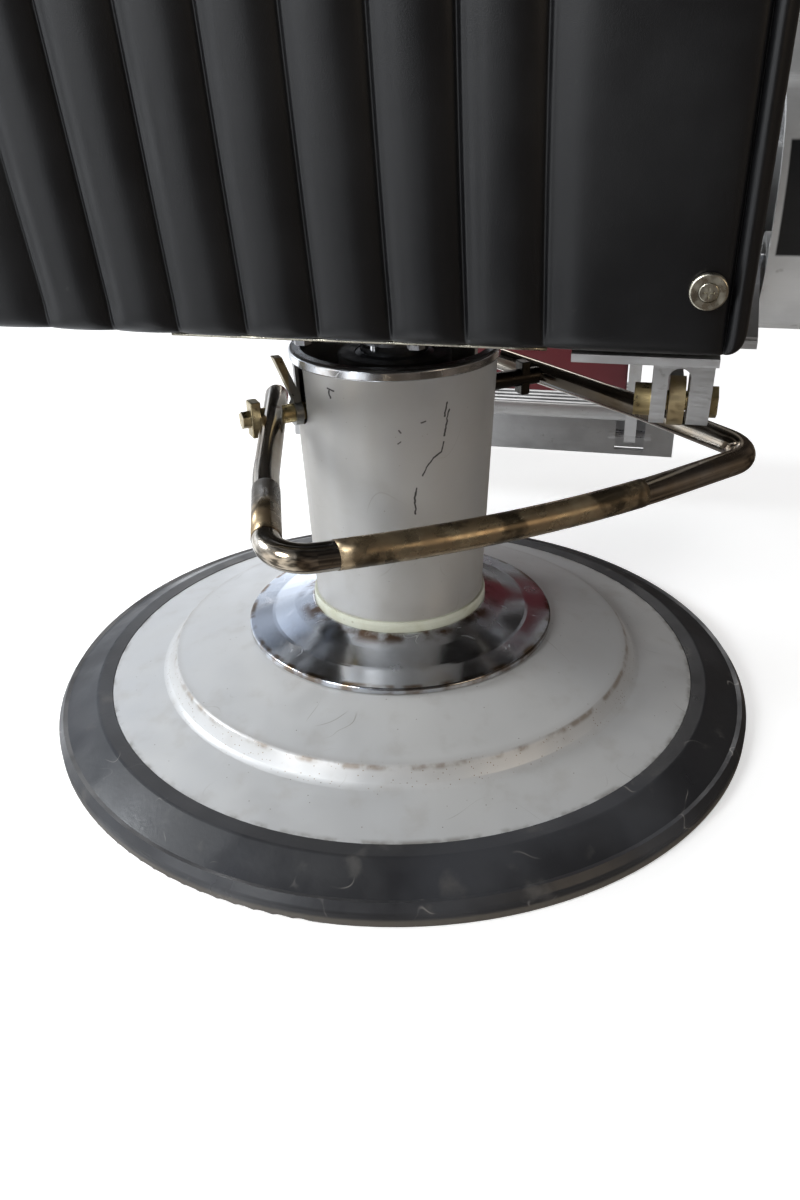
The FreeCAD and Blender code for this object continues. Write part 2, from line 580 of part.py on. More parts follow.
def build_seat_frame():
    turned("bearing_race_upper", [
        ("spindle_radius + running", "hub_level - race_low"), ("ram_radius + 2", "hub_level - race_low"),
        ("ram_radius + 2", "hub_level"), ("spindle_radius + running", "hub_level")])
    hub = rod("z", "0", "0", "hub_radius", "hub_level", "hub_top")
    arm_one = block(("-150", "-22", "hub_top - 16"), ("150", "22", "hub_top"))
    arm_two = block(("-22", "-165", "hub_top - 16"), ("22", "130", "hub_top"))
    bar_front = block(("-60", "-165", "hub_top - 16"), ("60", "-135", "hub_top"))
    bar_rear = block(("-60", "98", "hub_top - 16"), ("60", "128", "hub_top"))
    bore = rod("z", "0", "0", "spindle_radius + running", "hub_level - 1", "hub_top + 1")
    name_part(less(joined(hub, arm_one, arm_two, bar_front, bar_rear), bore), "swivel_hub")
    rail = block(("-rail_outer", "rail_front", "rail_low"), ("-rail_inner", "rail_rear", "rail_high"))
    hollow = block(("-rail_outer + 3", "rail_front - 1", "rail_low + 3"),
                   ("-rail_inner + 1", "rail_rear + 1", "rail_high - 3"))
    hinge_boss = rod("x", "leg_y", "leg_z", "14", "-rail_outer + 3", "-rail_inner")
    hinge_bore = rod("x", "leg_y", "leg_z", "pin_radius", "-rail_outer - 1", "-rail_inner + 1")
    bolt_holes = [rod("x", across, "arm_low + 18", "5", "-rail_outer - 1", "-rail_inner") for across in ARM_BOLTS]
    rail = less(joined(less(rail, hollow), hinge_boss), hinge_bore, *bolt_holes)
    crossbars = []
    for middle in ("-150", "113"):
        bar = block(("-rail_outer + 3", f"{middle} - 15", "hub_top"), ("rail_outer - 3", f"{middle} + 15", "board_low"))
        inside = block(("-rail_outer", f"{middle} - 12.5", "hub_top + 2.5"),
                       ("rail_outer", f"{middle} + 12.5", "board_low - 2.5"))
        crossbars.append(less(bar, inside))
    name_part(joined(rail, mirrored(rail), *crossbars), "seat_frame")
    board = block(("-seat_half + 6", "leg_y + 23", "board_low"), ("seat_half - 6", "seat_rear - 8", "seat_low"))
    name_part(softened(board, "3"), "seat_board")
    cushion = block(("-seat_half", "seat_front", "seat_low"), ("seat_half", "seat_rear", "seat_high"))
    name_part(softened(cushion, "22"), "seat_cushion")
    bolt = rod("x", "leg_y", "leg_z", "pin_radius", "-rail_outer", "-leg_bar_in + 4")
    cap = rod("x", "leg_y", "leg_z", "pin_radius + 4", "-rail_outer - 5", "-rail_outer")
    both("leg_hinge_pins", joined(bolt, cap))
    bolts = []
    for across in ("-45", "45"):
        for middle in ("-150", "113"):
            bolts.append(hexagon("z", across, middle, "7", "hub_top - 22", "hub_top - 16"))
    group("hub_bolts", *bolts)


def arm_outline():
    """Corners of the arm casting, side view (y, z), with the fillet of each."""
    front, rear, low, high = size("arm_front"), size("arm_rear"), size("arm_low"), size("arm_high")
    return [
        (Vector(0, front + 16, low), 34), (Vector(0, front - 6, high), 40), (Vector(0, -16, high), 46),
        (Vector(0, 12, high - 137), 40), (Vector(0, rear, high - 140), 60), (Vector(0, rear, low), 76)]


def arm_window():
    """Corners of the opening in the arm casting."""
    front, low, high = size("arm_front"), size("arm_low"), size("arm_high")
    return [
        (Vector(0, front + 62, low + 46), 22), (Vector(0, front + 44, high - 44), 26),
        (Vector(0, -62, high - 44), 32), (Vector(0, -34, high - 184), 36), (Vector(0, 78, high - 184), 24),
        (Vector(0, 78, low + 46), 24)]


def rounded_loop(corners):
    """A closed wire through the corners with an arc at each."""
    points = [point for point, radius in corners]
    edges = []
    starts = []
    for index, (point, radius) in enumerate(corners):
        before = (points[index - 1] - point).normalize()
        after = (points[(index + 1) % len(points)] - point).normalize()
        half = before.getAngle(after) / 2
        reach = radius / math.tan(half)
        middle = point + (before + after).normalize() * (radius / math.sin(half) - radius)
        starts.append((point + before * reach, middle, point + after * reach))
    for index, (enter, middle, leave) in enumerate(starts):
        previous = starts[index - 1][2]
        edges.append(Part.LineSegment(previous, enter).toShape())
        edges.append(Part.Arc(enter, middle, leave).toShape())
    return Part.Wire(edges)


def slab(wire, low, high):
    face = Part.Face(wire)
    face.translate(Vector(low, 0, 0))
    return face.extrude(Vector(high - low, 0, 0))


def build_arms():
    """Cast arm with an H section: a rim round the outline and round the window, and a thin web."""
    inner, outer = -size("arm_inner"), -size("arm_outer")
    rim, web = size("arm_rim"), size("arm_web")
    outline = rounded_loop(arm_outline())
    window = rounded_loop(arm_window())
    solid = slab(outline, outer, inner).cut(slab(window, outer - 1, inner + 1))
    recess = slab(outline.makeOffset2D(-rim), outer, inner).cut(slab(window.makeOffset2D(rim), outer - 1, inner + 1))
    middle = (inner + outer) / 2
    keep_web = slab(outline, middle - web / 2, middle + web / 2)
    solid = solid.cut(recess.cut(keep_web))
    spots = [(size("pivot_y"), size("pivot_z"), 21)]
    spots += [(size(at), size("arm_low") + 18, 14) for at in ARM_BOLTS]
    pin = size("pin_radius")
    for across, up, radius in spots:
        boss = Part.makeCylinder(radius, inner - outer, Vector(outer, across, up), Vector(1, 0, 0))
        solid = solid.fuse(boss)
    for across, up, radius in spots:
        bore = pin if radius > 15 else 5
        hole = Part.makeCylinder(bore, inner - outer + 2, Vector(outer - 1, across, up), Vector(1, 0, 0))
        solid = solid.cut(hole)
    pair("arm_frame", shape_part("arm_casting", solid.removeSplitter()))
    pad = block(("-(arm_inner + arm_outer) / 2 - arm_pad_half", "arm_front + 6", "arm_high"),
                ("-(arm_inner + arm_outer) / 2 + arm_pad_half", "-50", "arm_high + arm_pad_thick"))
    both("arm_pads", softened(pad, "11"))
    pin_rod = rod("x", "pivot_y", "pivot_z", "pin_radius", "-arm_outer - 2", "-arm_inner + 14")
    cap = ingredient(turned("cap_blank", [("0", "0"), ("19", "0"), ("19", "3"), ("13", "7"), ("0", "9")]))
    cap.Placement = Placement(Vector(0, 0, 0), Rotation(Vector(0, 1, 0), -90))
    bind(cap, "Placement.Base.x", "-arm_outer - 2")
    bind(cap, "Placement.Base.y", "pivot_y")
    bind(cap, "Placement.Base.z", "pivot_z")
    lever_pin = rod("x", "pivot_y", "pivot_z", "pin_radius", "arm_inner - 14", "arm_outer + 21")
    group("back_pivot_pins", joined(pin_rod, cap), lever_pin)
    bolts = []
    for across in ARM_BOLTS:
        shank = rod("x", across, "arm_low + 18", "5", "-arm_outer", "-rail_inner + 4")
        head = hexagon("x", across, "arm_low + 18", "9", "-arm_outer - 6", "-arm_outer")
        bolts.append(joined(shank, head))
    right_bolts = doc.addObject("Part::Compound", "arm_bolts_right")
    right_bolts.Links = bolts
    group("arm_bolts", right_bolts, mirrored(right_bolts))


def build_lever():
    """Recline lever on the sitter's left: it clamps the back's pivot."""
    hub = rod("x", "pivot_y", "pivot_z", "17", "arm_outer + 4", "arm_outer + 18")
    shank = block(("arm_outer + 9", "pivot_y - 128", "pivot_z - 5"), ("arm_outer + 16", "pivot_y", "pivot_z + 5"))
    bore = rod("x", "pivot_y", "pivot_z", "pin_radius + running", "arm_outer + 3", "arm_outer + 19")
    name_part(less(joined(hub, shank), bore), "recline_lever")
    knob = doc.addObject("Part::Ellipsoid", "knob")
    knob.Placement = Placement(Vector(), Rotation(Vector(0, 1, 0), 90))
    bind(knob, "Radius1", "11")
    bind(knob, "Radius2", "11")
    bind(knob, "Radius3", "26")
    bind(knob, "Placement.Base.x", "arm_outer + 12.5")
    bind(knob, "Placement.Base.y", "pivot_y - 140")
    bind(knob, "Placement.Base.z", "pivot_z")
    socket = block(("arm_outer + 9", "pivot_y - 128", "pivot_z - 5"), ("arm_outer + 16", "pivot_y", "pivot_z + 5"))
    name_part(less(knob, socket), "lever_grip")


# ---- back ------------------------------------------------------------------------------------


def build_back():
    panel = block(("-back_half", "-panel_thick", "0"), ("back_half", "0", "back_tall"))
    name_part(leaning(softened(panel, "9")), "back_panel")
    board = block(("-back_half + 8", "-panel_thick - board_thick", "foot_top"),
                  ("back_half - 8", "-panel_thick", "back_tall - 8"))
    slots = []
    for side in ("-post_gap", "post_gap"):
        slots.append(block((f"{side} - 7.5", "-panel_thick - board_thick - 1", "back_tall - 210"),
                           (f"{side} + 7.5", "-panel_thick + 1", "back_tall")))
    name_part(leaning(less(board, *slots)), "back_board")
    pad = block(("-back_half + 2", "-panel_thick - board_thick - back_pad_thick", "6"),
                ("back_half - 2", "-panel_thick - board_thick", "back_tall - 6"))
    name_part(leaning(softened(pad, "20")), "back_cushion")
    sleeves = []
    for side in ("-post_gap", "post_gap"):
        middle = "-panel_thick - board_thick / 2"
        sleeve = rod("z", side, middle, "post_radius + 1.8", "back_tall - 200", "back_tall + 4")
        bore = rod("z", side, middle, "post_radius + running", "back_tall - 202", "back_tall + 5")
        sleeves.append(leaning(less(sleeve, bore)))
    group("headrest_sleeves", *sleeves)
    washers = []
    screws = []
    for across in ("-back_half + 24", "back_half - 24"):
        for up in ("40", "back_tall - 40"):
            cup = rod("y", across, up, "10", "0", "2.6")
            seat = rod("y", across, up, "5.4", "0.6", "3")
            washers.append(leaning(less(softened(cup, "1.1", lambda edge: edge.BoundBox.YMin > 1), seat)))
            head = rod("y", across, up, "5.2", "0.6", "2.8")
            cross = joined(block((f"{across} - 0.6", "1.6", f"{up} - 3.2"), (f"{across} + 0.6", "4", f"{up} + 3.2")),
                           block((f"{across} - 3.2", "1.6", f"{up} - 0.6"), (f"{across} + 3.2", "4", f"{up} + 0.6")))
            screws.append(leaning(less(softened(head, "0.7", lambda edge: edge.BoundBox.YMin > 1), cross)))
    group("cup_washers", *washers)
    group("panel_screws", *screws)
    build_back_brackets()


def build_back_brackets():
    """Cast bracket at each lower corner; the right one has a foot and a fork for the link."""
    lug = padded("lug", "YZ_Plane", [
        ("pivot_y - 17", "pivot_z + 2"), ("pivot_y - 6", "pivot_z + 17"), ("pivot_y + 12", "pivot_z + 14"),
        ("back_edge_y - 42", "back_edge_z + 5"), ("back_edge_y - 42", "back_edge_z - 1"),
        ("fork_y - 12", "back_edge_z - 3"), ("pivot_y - 8", "pivot_z - 17")], "-275", "-268",
        [("pivot_y - 17", "pivot_z + 2", "9"), ("pivot_y - 6", "pivot_z + 17", "9"),
         ("pivot_y + 12", "pivot_z + 14", "9"), ("pivot_y - 8", "pivot_z - 17", "9")])
    foot = leaning(block(("-254", "-58", "foot_top - 5"), ("-172", "-12", "foot_top")))
    wing = leaning(block(("-275", "-58", "foot_top - 5"), ("-253", "-40", "foot_top")))
    fork = padded("fork", "YZ_Plane", [
        ("fork_y - 8", "back_edge_z + 3"), ("fork_y - 13", "fork_z - 13"), ("fork_y + 13", "fork_z - 13"),
        ("fork_y + 24", "back_edge_z - 1")], "-254", "-219",
        [("fork_y - 13", "fork_z - 13", "10"), ("fork_y + 13", "fork_z - 13", "10")])
    slot = block(("-link_x - 6.5", "fork_y - 20", "fork_z - 20"), ("-link_x + 6.5", "fork_y + 30", "fork_z + 19"))
    arch = rod("y", "-link_x", "fork_z + 19", "6.5", "fork_y - 20", "fork_y + 30")
    pivot_bore = rod("x", "pivot_y", "pivot_z", "pin_radius + running", "-276", "-267")
    pin_bore = rod("x", "fork_y", "fork_z", "fork_pin", "-255", "-218")
    right = less(joined(less(fork, joined(slot, arch)), lug, foot, wing), pivot_bore, pin_bore)
    rail = leaning(block(("-275", "-58", "foot_top - 5"), ("-190", "-40", "foot_top")))
    left = mirrored(less(joined(lug, rail), pivot_bore))
    group("back_brackets", right, left)
    shank = rod("x", "fork_y", "fork_z", "fork_pin", "-257.5", "-211")
    nut = hexagon("x", "fork_y", "fork_z", "10", "-259", "-254.3")
    name_part(joined(shank, nut), "link_pin")
    collar = rod("x", "fork_y", "fork_z", "10", "-219", "-209")
    collar_bore = rod("x", "fork_y", "fork_z", "fork_pin", "-220", "-208")
    name_part(less(collar, collar_bore), "link_collar")


def build_link():
    """Rod on the right that pushes the leg rest up as the back goes down."""
    near, far = "-link_x - link_half", "-link_x + link_half"
    rear_eye = rod("x", "fork_y", "fork_z", "link_eye", near, far)
    front_eye = rod("x", "crank_y", "crank_z", "link_eye", near, far)
    run = "sqrt((fork_y - crank_y) ^ 2 + (fork_z - crank_z) ^ 2)"
    bar = block((f"{near} + 0.5", "0", "-link_wide / 2"), (f"{far} - 0.5", run, "link_wide / 2"))
    flat = leaning(bar, "atan((fork_z - crank_z) / (fork_y - crank_y))", "crank_y", "crank_z")
    rear_bore = rod("x", "fork_y", "fork_z", "fork_pin + running", "-link_x - 10", "-link_x + 10")
    front_bore = rod("x", "crank_y", "crank_z", "fork_pin + 0.8", "-link_x - 10", "-link_x + 10")
    name_part(less(joined(rear_eye, front_eye, flat), rear_bore, front_bore), "link_rod")


def build_headrest():
    posts = []
    for side in ("-post_gap", "post_gap"):
        middle = "-panel_thick - board_thick / 2"
        posts.append(rod("z", side, middle, "post_radius", "back_tall - 165", "head_low + 40"))
    bar = rod("x", "-panel_thick - board_thick / 2", "head_low + 40", "6", "-post_gap - 12", "post_gap + 12")
    name_part(leaning(joined(*posts, bar)), "headrest_posts")
    plate = block(("-90", "-panel_thick - board_thick / 2 - 22", "head_low + 10"),
                  ("90", "-panel_thick - board_thick / 2 - 14", "head_low + head_tall - 14"))
    clips = []
    for side in ("-30", "30"):
        middle = "-panel_thick - board_thick / 2"
        boss = rod("x", middle, "head_low + 40", "11", f"{side} - 9", f"{side} + 9")
        neck = block((f"{side} - 9", f"{middle} - 15", "head_low + 33"), (f"{side} + 9", middle, "head_low + 47"))
        clips += [boss, neck]
    bore = rod("x", "-panel_thick - board_thick / 2", "head_low + 40", "6 + running", "-60", "60")
    name_part(leaning(less(joined(plate, *clips), bore)), "headrest_plate")
    front = "-panel_thick - board_thick / 2 - 22 - head_thick"
    pad = block(("-head_half", front, "head_low"),
                ("head_half", "-panel_thick - board_thick / 2 - 22", "head_low + head_tall"))
    name_part(leaning(softened(pad, "26")), "headrest_pad")


# ---- leg rest --------------------------------------------------------------------------------


def build_leg_rest():
    bar = block(("-leg_bar_out", "-10", "-leg_long"), ("-leg_bar_in", "10", "0"))
    top_eye = rod("x", "0", "0", "14", "-leg_bar_out", "-leg_bar_in")
    low_eye = rod("x", "0", "-leg_long", "12", "-leg_bar_out", "-leg_bar_in")
    top_bore = rod("x", "0", "0", "pin_radius + running", "-leg_bar_out - 1", "-leg_bar_in + 1")
    low_bore = rod("x", "0", "-leg_long", "5", "-leg_bar_out - 1", "-leg_bar_in + 1")
    bar = on_leg(less(joined(bar, top_eye, low_eye), top_bore, low_bore))
    ear = padded("ear_blank", "YZ_Plane", [
        ("leg_y - 15", "leg_z + 12"), ("leg_y + 12", "leg_z + 14"), ("crank_y + 15", "crank_z + 2"),
        ("crank_y + 8", "crank_z - 14"), ("crank_y - 12", "crank_z - 12"), ("leg_y - 15", "leg_z - 12")],
        "-ear_out", "-ear_in",
        [("leg_y - 15", "leg_z + 12", "8"), ("leg_y + 12", "leg_z + 14", "8"), ("crank_y + 15", "crank_z + 2", "8"),
         ("crank_y + 8", "crank_z - 14", "8"), ("crank_y - 12", "crank_z - 12", "8")])
    spacer = rod("x", "leg_y", "leg_z", "12", "-ear_in", "-leg_bar_out")
    ear_bore = rod("x", "leg_y", "leg_z", "pin_radius + running", "-ear_out - 1", "-leg_bar_in")
    stud = rod("x", "crank_y", "crank_z", "fork_pin", "-link_x - link_half - 4", "-ear_out")
    side = joined(less(joined(ear, spacer), ear_bore), bar)
    tubes = []
    for down in ("-70", "-leg_long + 40"):
        tubes.append(on_leg(rod("x", "0", down, "9", "-leg_bar_in - 2", "leg_bar_in + 2")))
    name_part(joined(side, mirrored(side), stud, *tubes), "leg_frame")
    board = block(("-leg_bar_in + 2", "-21", "-289"), ("leg_bar_in - 2", "-9.5", "-34"))
    name_part(on_leg(softened(board, "3")), "leg_board")
    pad = block(("-calf_half", "-21 - calf_thick", "-284"), ("calf_half", "-21", "-38"))
    name_part(on_leg(softened(pad, "18")), "calf_pad")


def build_foot_plate():
    """Cast plate with ribs across its tread, a skirt behind with a wall before it, and a cut-out for each leg bar."""
    rear, top = "foot_y + 10", "foot_z + 28"
    deck = block(("-foot_half", "foot_y + 10 - foot_deep", "foot_z + 28 - foot_sheet"), ("foot_half", rear, top))
    skirt = block(("-foot_half", "foot_y + 2", "foot_z - 26"), ("foot_half", rear, top))
    wall = block(("-foot_half", "foot_y - 27", "foot_z - 26"), ("foot_half", "foot_y - 21", top))
    lip = block(("-foot_half", "foot_y + 10 - foot_deep", "foot_z + 10"),
                ("foot_half", "foot_y + 18 - foot_deep", top))
    cheeks = []
    for near, far in (("-foot_half", "-foot_half + 7"), ("foot_half - 7", "foot_half")):
        cheeks.append(block((near, "foot_y + 10 - foot_deep", "foot_z + 2"), (far, rear, top)))
    ribs = []
    for index in range(8):
        at = f"foot_y + 22 - foot_deep + {index * 15}"
        ribs.append(block(("-foot_half + 14", at, top), ("foot_half - 14", f"{at} + 7", f"{top} + 4")))
    lugs = []
    cuts = []
    for side in ("-1", "1"):
        middle = f"{side} * (leg_bar_in + leg_bar_out) / 2"
        cuts.append(block((f"{middle} - 19", "foot_y - 18", "foot_z - 19"),
                          (f"{middle} + 19", "foot_y + 11", f"{top} + 5")))
        for offset in ("-28", "19"):
            lugs.append(rod("x", "foot_y", "foot_z", "11", f"{middle} + {offset}", f"{middle} + {offset} + 9"))
            lugs.append(block((f"{middle} + {offset}", "foot_y - 11", "foot_z"),
                              (f"{middle} + {offset} + 9", "foot_y + 6", top)))
    bores = rod("x", "foot_y", "foot_z", "5 + running", "-foot_half + 20", "foot_half - 20")
    name_part(less(joined(deck, skirt, wall, lip, *cheeks, *ribs, *lugs), *cuts, bores), "foot_plate")
    middle = "-(leg_bar_in + leg_bar_out) / 2"
    both("foot_pins", rod("x", "foot_y", "foot_z", "5", f"{middle} - 28", f"{middle} + 28"))


# ---- build, check and write -------------------------------------------------------------------


def check_and_write():
    doc.recompute()
    failed = []
    for thing in doc.Objects:
        if "Invalid" in thing.State or "Error" in thing.State:
            owner = thing.getParentGeoFeatureGroup()
            failed.append(f"{thing.Label} of {owner.Label if owner else 'the document'}")
    if failed:
        raise RuntimeError("failed: " + ", ".join(failed))
    labels = [thing.Label for thing in PARTS]
    if len(labels) != len(set(labels)) or len(labels) > 60:
        raise RuntimeError(f"{len(labels)} pieces, or names that repeat: {sorted(labels)}")
    os.makedirs("parts", exist_ok=True)
    for thing in PARTS:
        if thing.Shape.isNull() or not thing.Shape.isValid():
            raise RuntimeError(f"{thing.Label} has no valid shape")
        thing.Shape.exportStep(f"parts/{thing.Label}.step")
    print(len(PARTS), "pieces")


build_base()
build_column()
build_pump()
build_ram()
build_seat_frame()
build_arms()
build_lever()
build_back()
build_link()
build_headrest()
build_leg_rest()
build_foot_plate()
check_and_write()
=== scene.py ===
"""Looks of a hydraulic barber chair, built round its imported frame.

Metres, +Z up. The column's axis is Z, the floor is z = 0 and the sitter faces -Y, so +X is the
sitter's left. The camera stands behind the chair. Every soft part is modelled here; the metal
parts come from the frame and get their finishes here.
"""
import json
import math

import bmesh
import bpy
from mathutils import Matrix, Vector, noise


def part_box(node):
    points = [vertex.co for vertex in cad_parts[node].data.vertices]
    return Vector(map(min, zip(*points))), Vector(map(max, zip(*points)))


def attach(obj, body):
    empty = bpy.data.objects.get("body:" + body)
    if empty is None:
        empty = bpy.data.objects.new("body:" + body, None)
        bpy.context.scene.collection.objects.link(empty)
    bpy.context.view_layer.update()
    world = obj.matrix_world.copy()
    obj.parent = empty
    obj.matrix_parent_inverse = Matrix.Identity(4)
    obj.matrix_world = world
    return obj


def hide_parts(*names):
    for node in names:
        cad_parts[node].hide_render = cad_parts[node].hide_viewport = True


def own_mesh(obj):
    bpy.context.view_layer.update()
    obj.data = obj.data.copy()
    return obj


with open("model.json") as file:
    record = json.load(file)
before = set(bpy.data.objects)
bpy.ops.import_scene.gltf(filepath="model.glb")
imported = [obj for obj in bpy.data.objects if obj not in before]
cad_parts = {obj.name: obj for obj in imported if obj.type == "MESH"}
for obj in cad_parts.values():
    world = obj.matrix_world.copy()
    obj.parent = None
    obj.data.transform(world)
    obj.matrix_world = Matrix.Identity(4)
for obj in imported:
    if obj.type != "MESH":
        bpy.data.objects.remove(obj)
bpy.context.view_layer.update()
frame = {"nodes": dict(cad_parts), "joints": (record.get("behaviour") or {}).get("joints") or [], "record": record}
scene = bpy.context.scene

# ---- places, from the frame ------------------------------------------------------------------

joints = {joint["name"]: joint for joint in frame["joints"]}
LEAN = math.asin(joints["headrest_height"]["axis"][1])
BACK_FOOT = Vector((0, 0.285, 0.418))
BACK_HALF, BACK_TALL, PANEL_THICK = 0.266, 0.570, 0.026
LEG_HINGE = Vector(joints["leg_lift"]["pos_m"])
FOOT_HINGE = Vector(joints["foot_flip"]["pos_m"])
LEG_LEAN = math.atan2(LEG_HINGE.y - FOOT_HINGE.y, LEG_HINGE.z - FOOT_HINGE.z)
SHAFT = Vector(joints["pump_bar_swing"]["pos_m"])
PUMP_YAW = math.radians(38)

leaning = Matrix.Translation(BACK_FOOT) @ Matrix.Rotation(-LEAN, 4, "X")
on_leg = Matrix.Translation(LEG_HINGE) @ Matrix.Rotation(-LEG_LEAN, 4, "X")
upright = Matrix.Identity(4)

# ---- camera, floor and light -----------------------------------------------------------------


def make_camera():
    """Behind the chair and a little to the sitter's right, looking down at the column."""
    turn, pitch, roll = math.radians(14), 0.4988, -0.022
    away, height = 0.8741, 0.5686
    data = bpy.data.cameras.new("camera")
    data.lens, data.sensor_width = 30, 36
    data.clip_start, data.clip_end = 0.01, 100
    camera = bpy.data.objects.new("camera", data)
    forward = Vector((math.sin(turn) * math.cos(pitch), -math.cos(turn) * math.cos(pitch),
                      -math.sin(pitch)))
    camera.location = (-math.sin(turn) * away, math.cos(turn) * away, height)
    look = forward.to_track_quat("-Z", "Y")
    camera.rotation_mode = "QUATERNION"
    camera.rotation_quaternion = look @ Matrix.Rotation(roll, 4, "Z").to_quaternion()
    scene.collection.objects.link(camera)
    scene.camera = camera


def area_light(name, place, aim, size, power, colour):
    data = bpy.data.lights.new(name, "AREA")
    data.shape, data.size = "DISK", size
    data.energy, data.color = power, colour
    lamp = bpy.data.objects.new(name, data)
    lamp.location = place
    lamp.rotation_mode = "QUATERNION"
    lamp.rotation_quaternion = (Vector(aim) - Vector(place)).to_track_quat("-Z", "Y")
    scene.collection.objects.link(lamp)


def make_stage():
    bpy.ops.mesh.primitive_plane_add(size=40, location=(0, 0, 0))
    floor = bpy.context.object
    floor.name = "floor"
    paint = Finish("floor_paint", (0.92, 0.92, 0.92), 0.9)
    paint.set("Specular IOR Level", 0.0)
    paint.set("Emission Color", (1, 1, 1, 1)).set("Emission Strength", 0.42)
    wear(floor, paint)
    floor.visible_glossy = False
    area_light("window", (0.95, 1.6, 1.3), (0, 0.1, 0.2), 0.8, 29, (0.97, 0.99, 1.0))
    area_light("side", (1.9, 0.35, 1.2), (0.15, 0.1, 0.0), 0.7, 29, (0.93, 0.97, 1.0))
    area_light("warm_side", (-2.3, 1.3, 1.0), (0, 0, 0.2), 1.2, 6, (1.0, 0.80, 0.58))
    area_light("front", (0.8, -3.2, 2.4), (0, 0, 0.4), 2.5, 36, (1.0, 0.98, 0.96))
    make_sky()


def make_sky():
    """White to the camera, softer as light, and in mirrors a room that is bright on one side."""
    world = bpy.data.worlds.new("studio")
    scene.world = world
    world.use_nodes = True
    tree = world.node_tree
    tree.nodes.clear()
    new, link = tree.nodes.new, tree.links.new
    output = new("ShaderNodeOutputWorld")
    white, soft, room = [new("ShaderNodeBackground") for _ in range(3)]
    white.inputs["Color"].default_value = (1, 1, 1, 1)
    white.inputs["Strength"].default_value = 1.0
    soft.inputs["Color"].default_value = (0.97, 0.98, 1, 1)
    soft.inputs["Strength"].default_value = 0.38
    path, coordinates = new("ShaderNodeLightPath"), new("ShaderNodeTexCoord")
    split = new("ShaderNodeSeparateXYZ")
    ramp = new("ShaderNodeValToRGB")
    ramp.color_ramp.elements[0].color = (1.02, 1.02, 1.02, 1)
    ramp.color_ramp.elements[1].color = (0.17, 0.18, 0.21, 1)
    for place, colour in ((0.05, (1.25, 1.27, 1.30)), (0.2, (0.95, 0.99, 1.06)),
                          (0.55, (0.42, 0.46, 0.53))):
        ramp.color_ramp.elements.new(place).color = (*colour, 1)
    side, sided = new("ShaderNodeMapRange"), new("ShaderNodeMix")
    side.interpolation_type = "SMOOTHSTEP"
    for name, number in (("From Min", -0.02), ("From Max", 0.34), ("To Min", 0.0), ("To Max", 1.0)):
        side.inputs[name].default_value = number
    tint = new("ShaderNodeMix")
    tint.data_type = sided.data_type = "RGBA"
    sided.blend_type = "MULTIPLY"
    sided.inputs[0].default_value = 1.0
    tint.inputs[6].default_value = (0.085, 0.070, 0.058, 1)
    tint.inputs[7].default_value = (0.97, 1.0, 1.04, 1)
    blotches = new("ShaderNodeTexNoise")
    blotches.inputs["Scale"].default_value = 2.6
    blotches.inputs["Detail"].default_value = 2
    lift = new("ShaderNodeMapRange")
    for name, number in (("From Min", 0.40), ("From Max", 0.62), ("To Min", 0.25), ("To Max", 1.7)):
        lift.inputs[name].default_value = number
    glossy_mix, camera_mix = new("ShaderNodeMixShader"), new("ShaderNodeMixShader")
    link(coordinates.outputs["Generated"], split.inputs[0])
    link(split.outputs["Z"], ramp.inputs["Fac"])
    link(coordinates.outputs["Generated"], blotches.inputs["Vector"])
    link(blotches.outputs["Fac"], lift.inputs["Value"])
    link(split.outputs["X"], side.inputs["Value"])
    link(side.outputs["Result"], tint.inputs[0])
    link(ramp.outputs["Color"], sided.inputs[6])
    link(tint.outputs[2], sided.inputs[7])
    link(sided.outputs[2], room.inputs["Color"])
    link(lift.outputs["Result"], room.inputs["Strength"])
    link(path.outputs["Is Glossy Ray"], glossy_mix.inputs["Fac"])
    link(soft.outputs[0], glossy_mix.inputs[1])
    link(room.outputs[0], glossy_mix.inputs[2])
    link(path.outputs["Is Camera Ray"], camera_mix.inputs["Fac"])
    link(glossy_mix.outputs[0], camera_mix.inputs[1])
    link(white.outputs[0], camera_mix.inputs[2])
    link(camera_mix.outputs[0], output.inputs[0])
    scene.view_settings.view_transform = "Standard"
    scene.view_settings.look = "None"
    scene.view_settings.exposure = 0.0


# ---- finishes --------------------------------------------------------------------------------


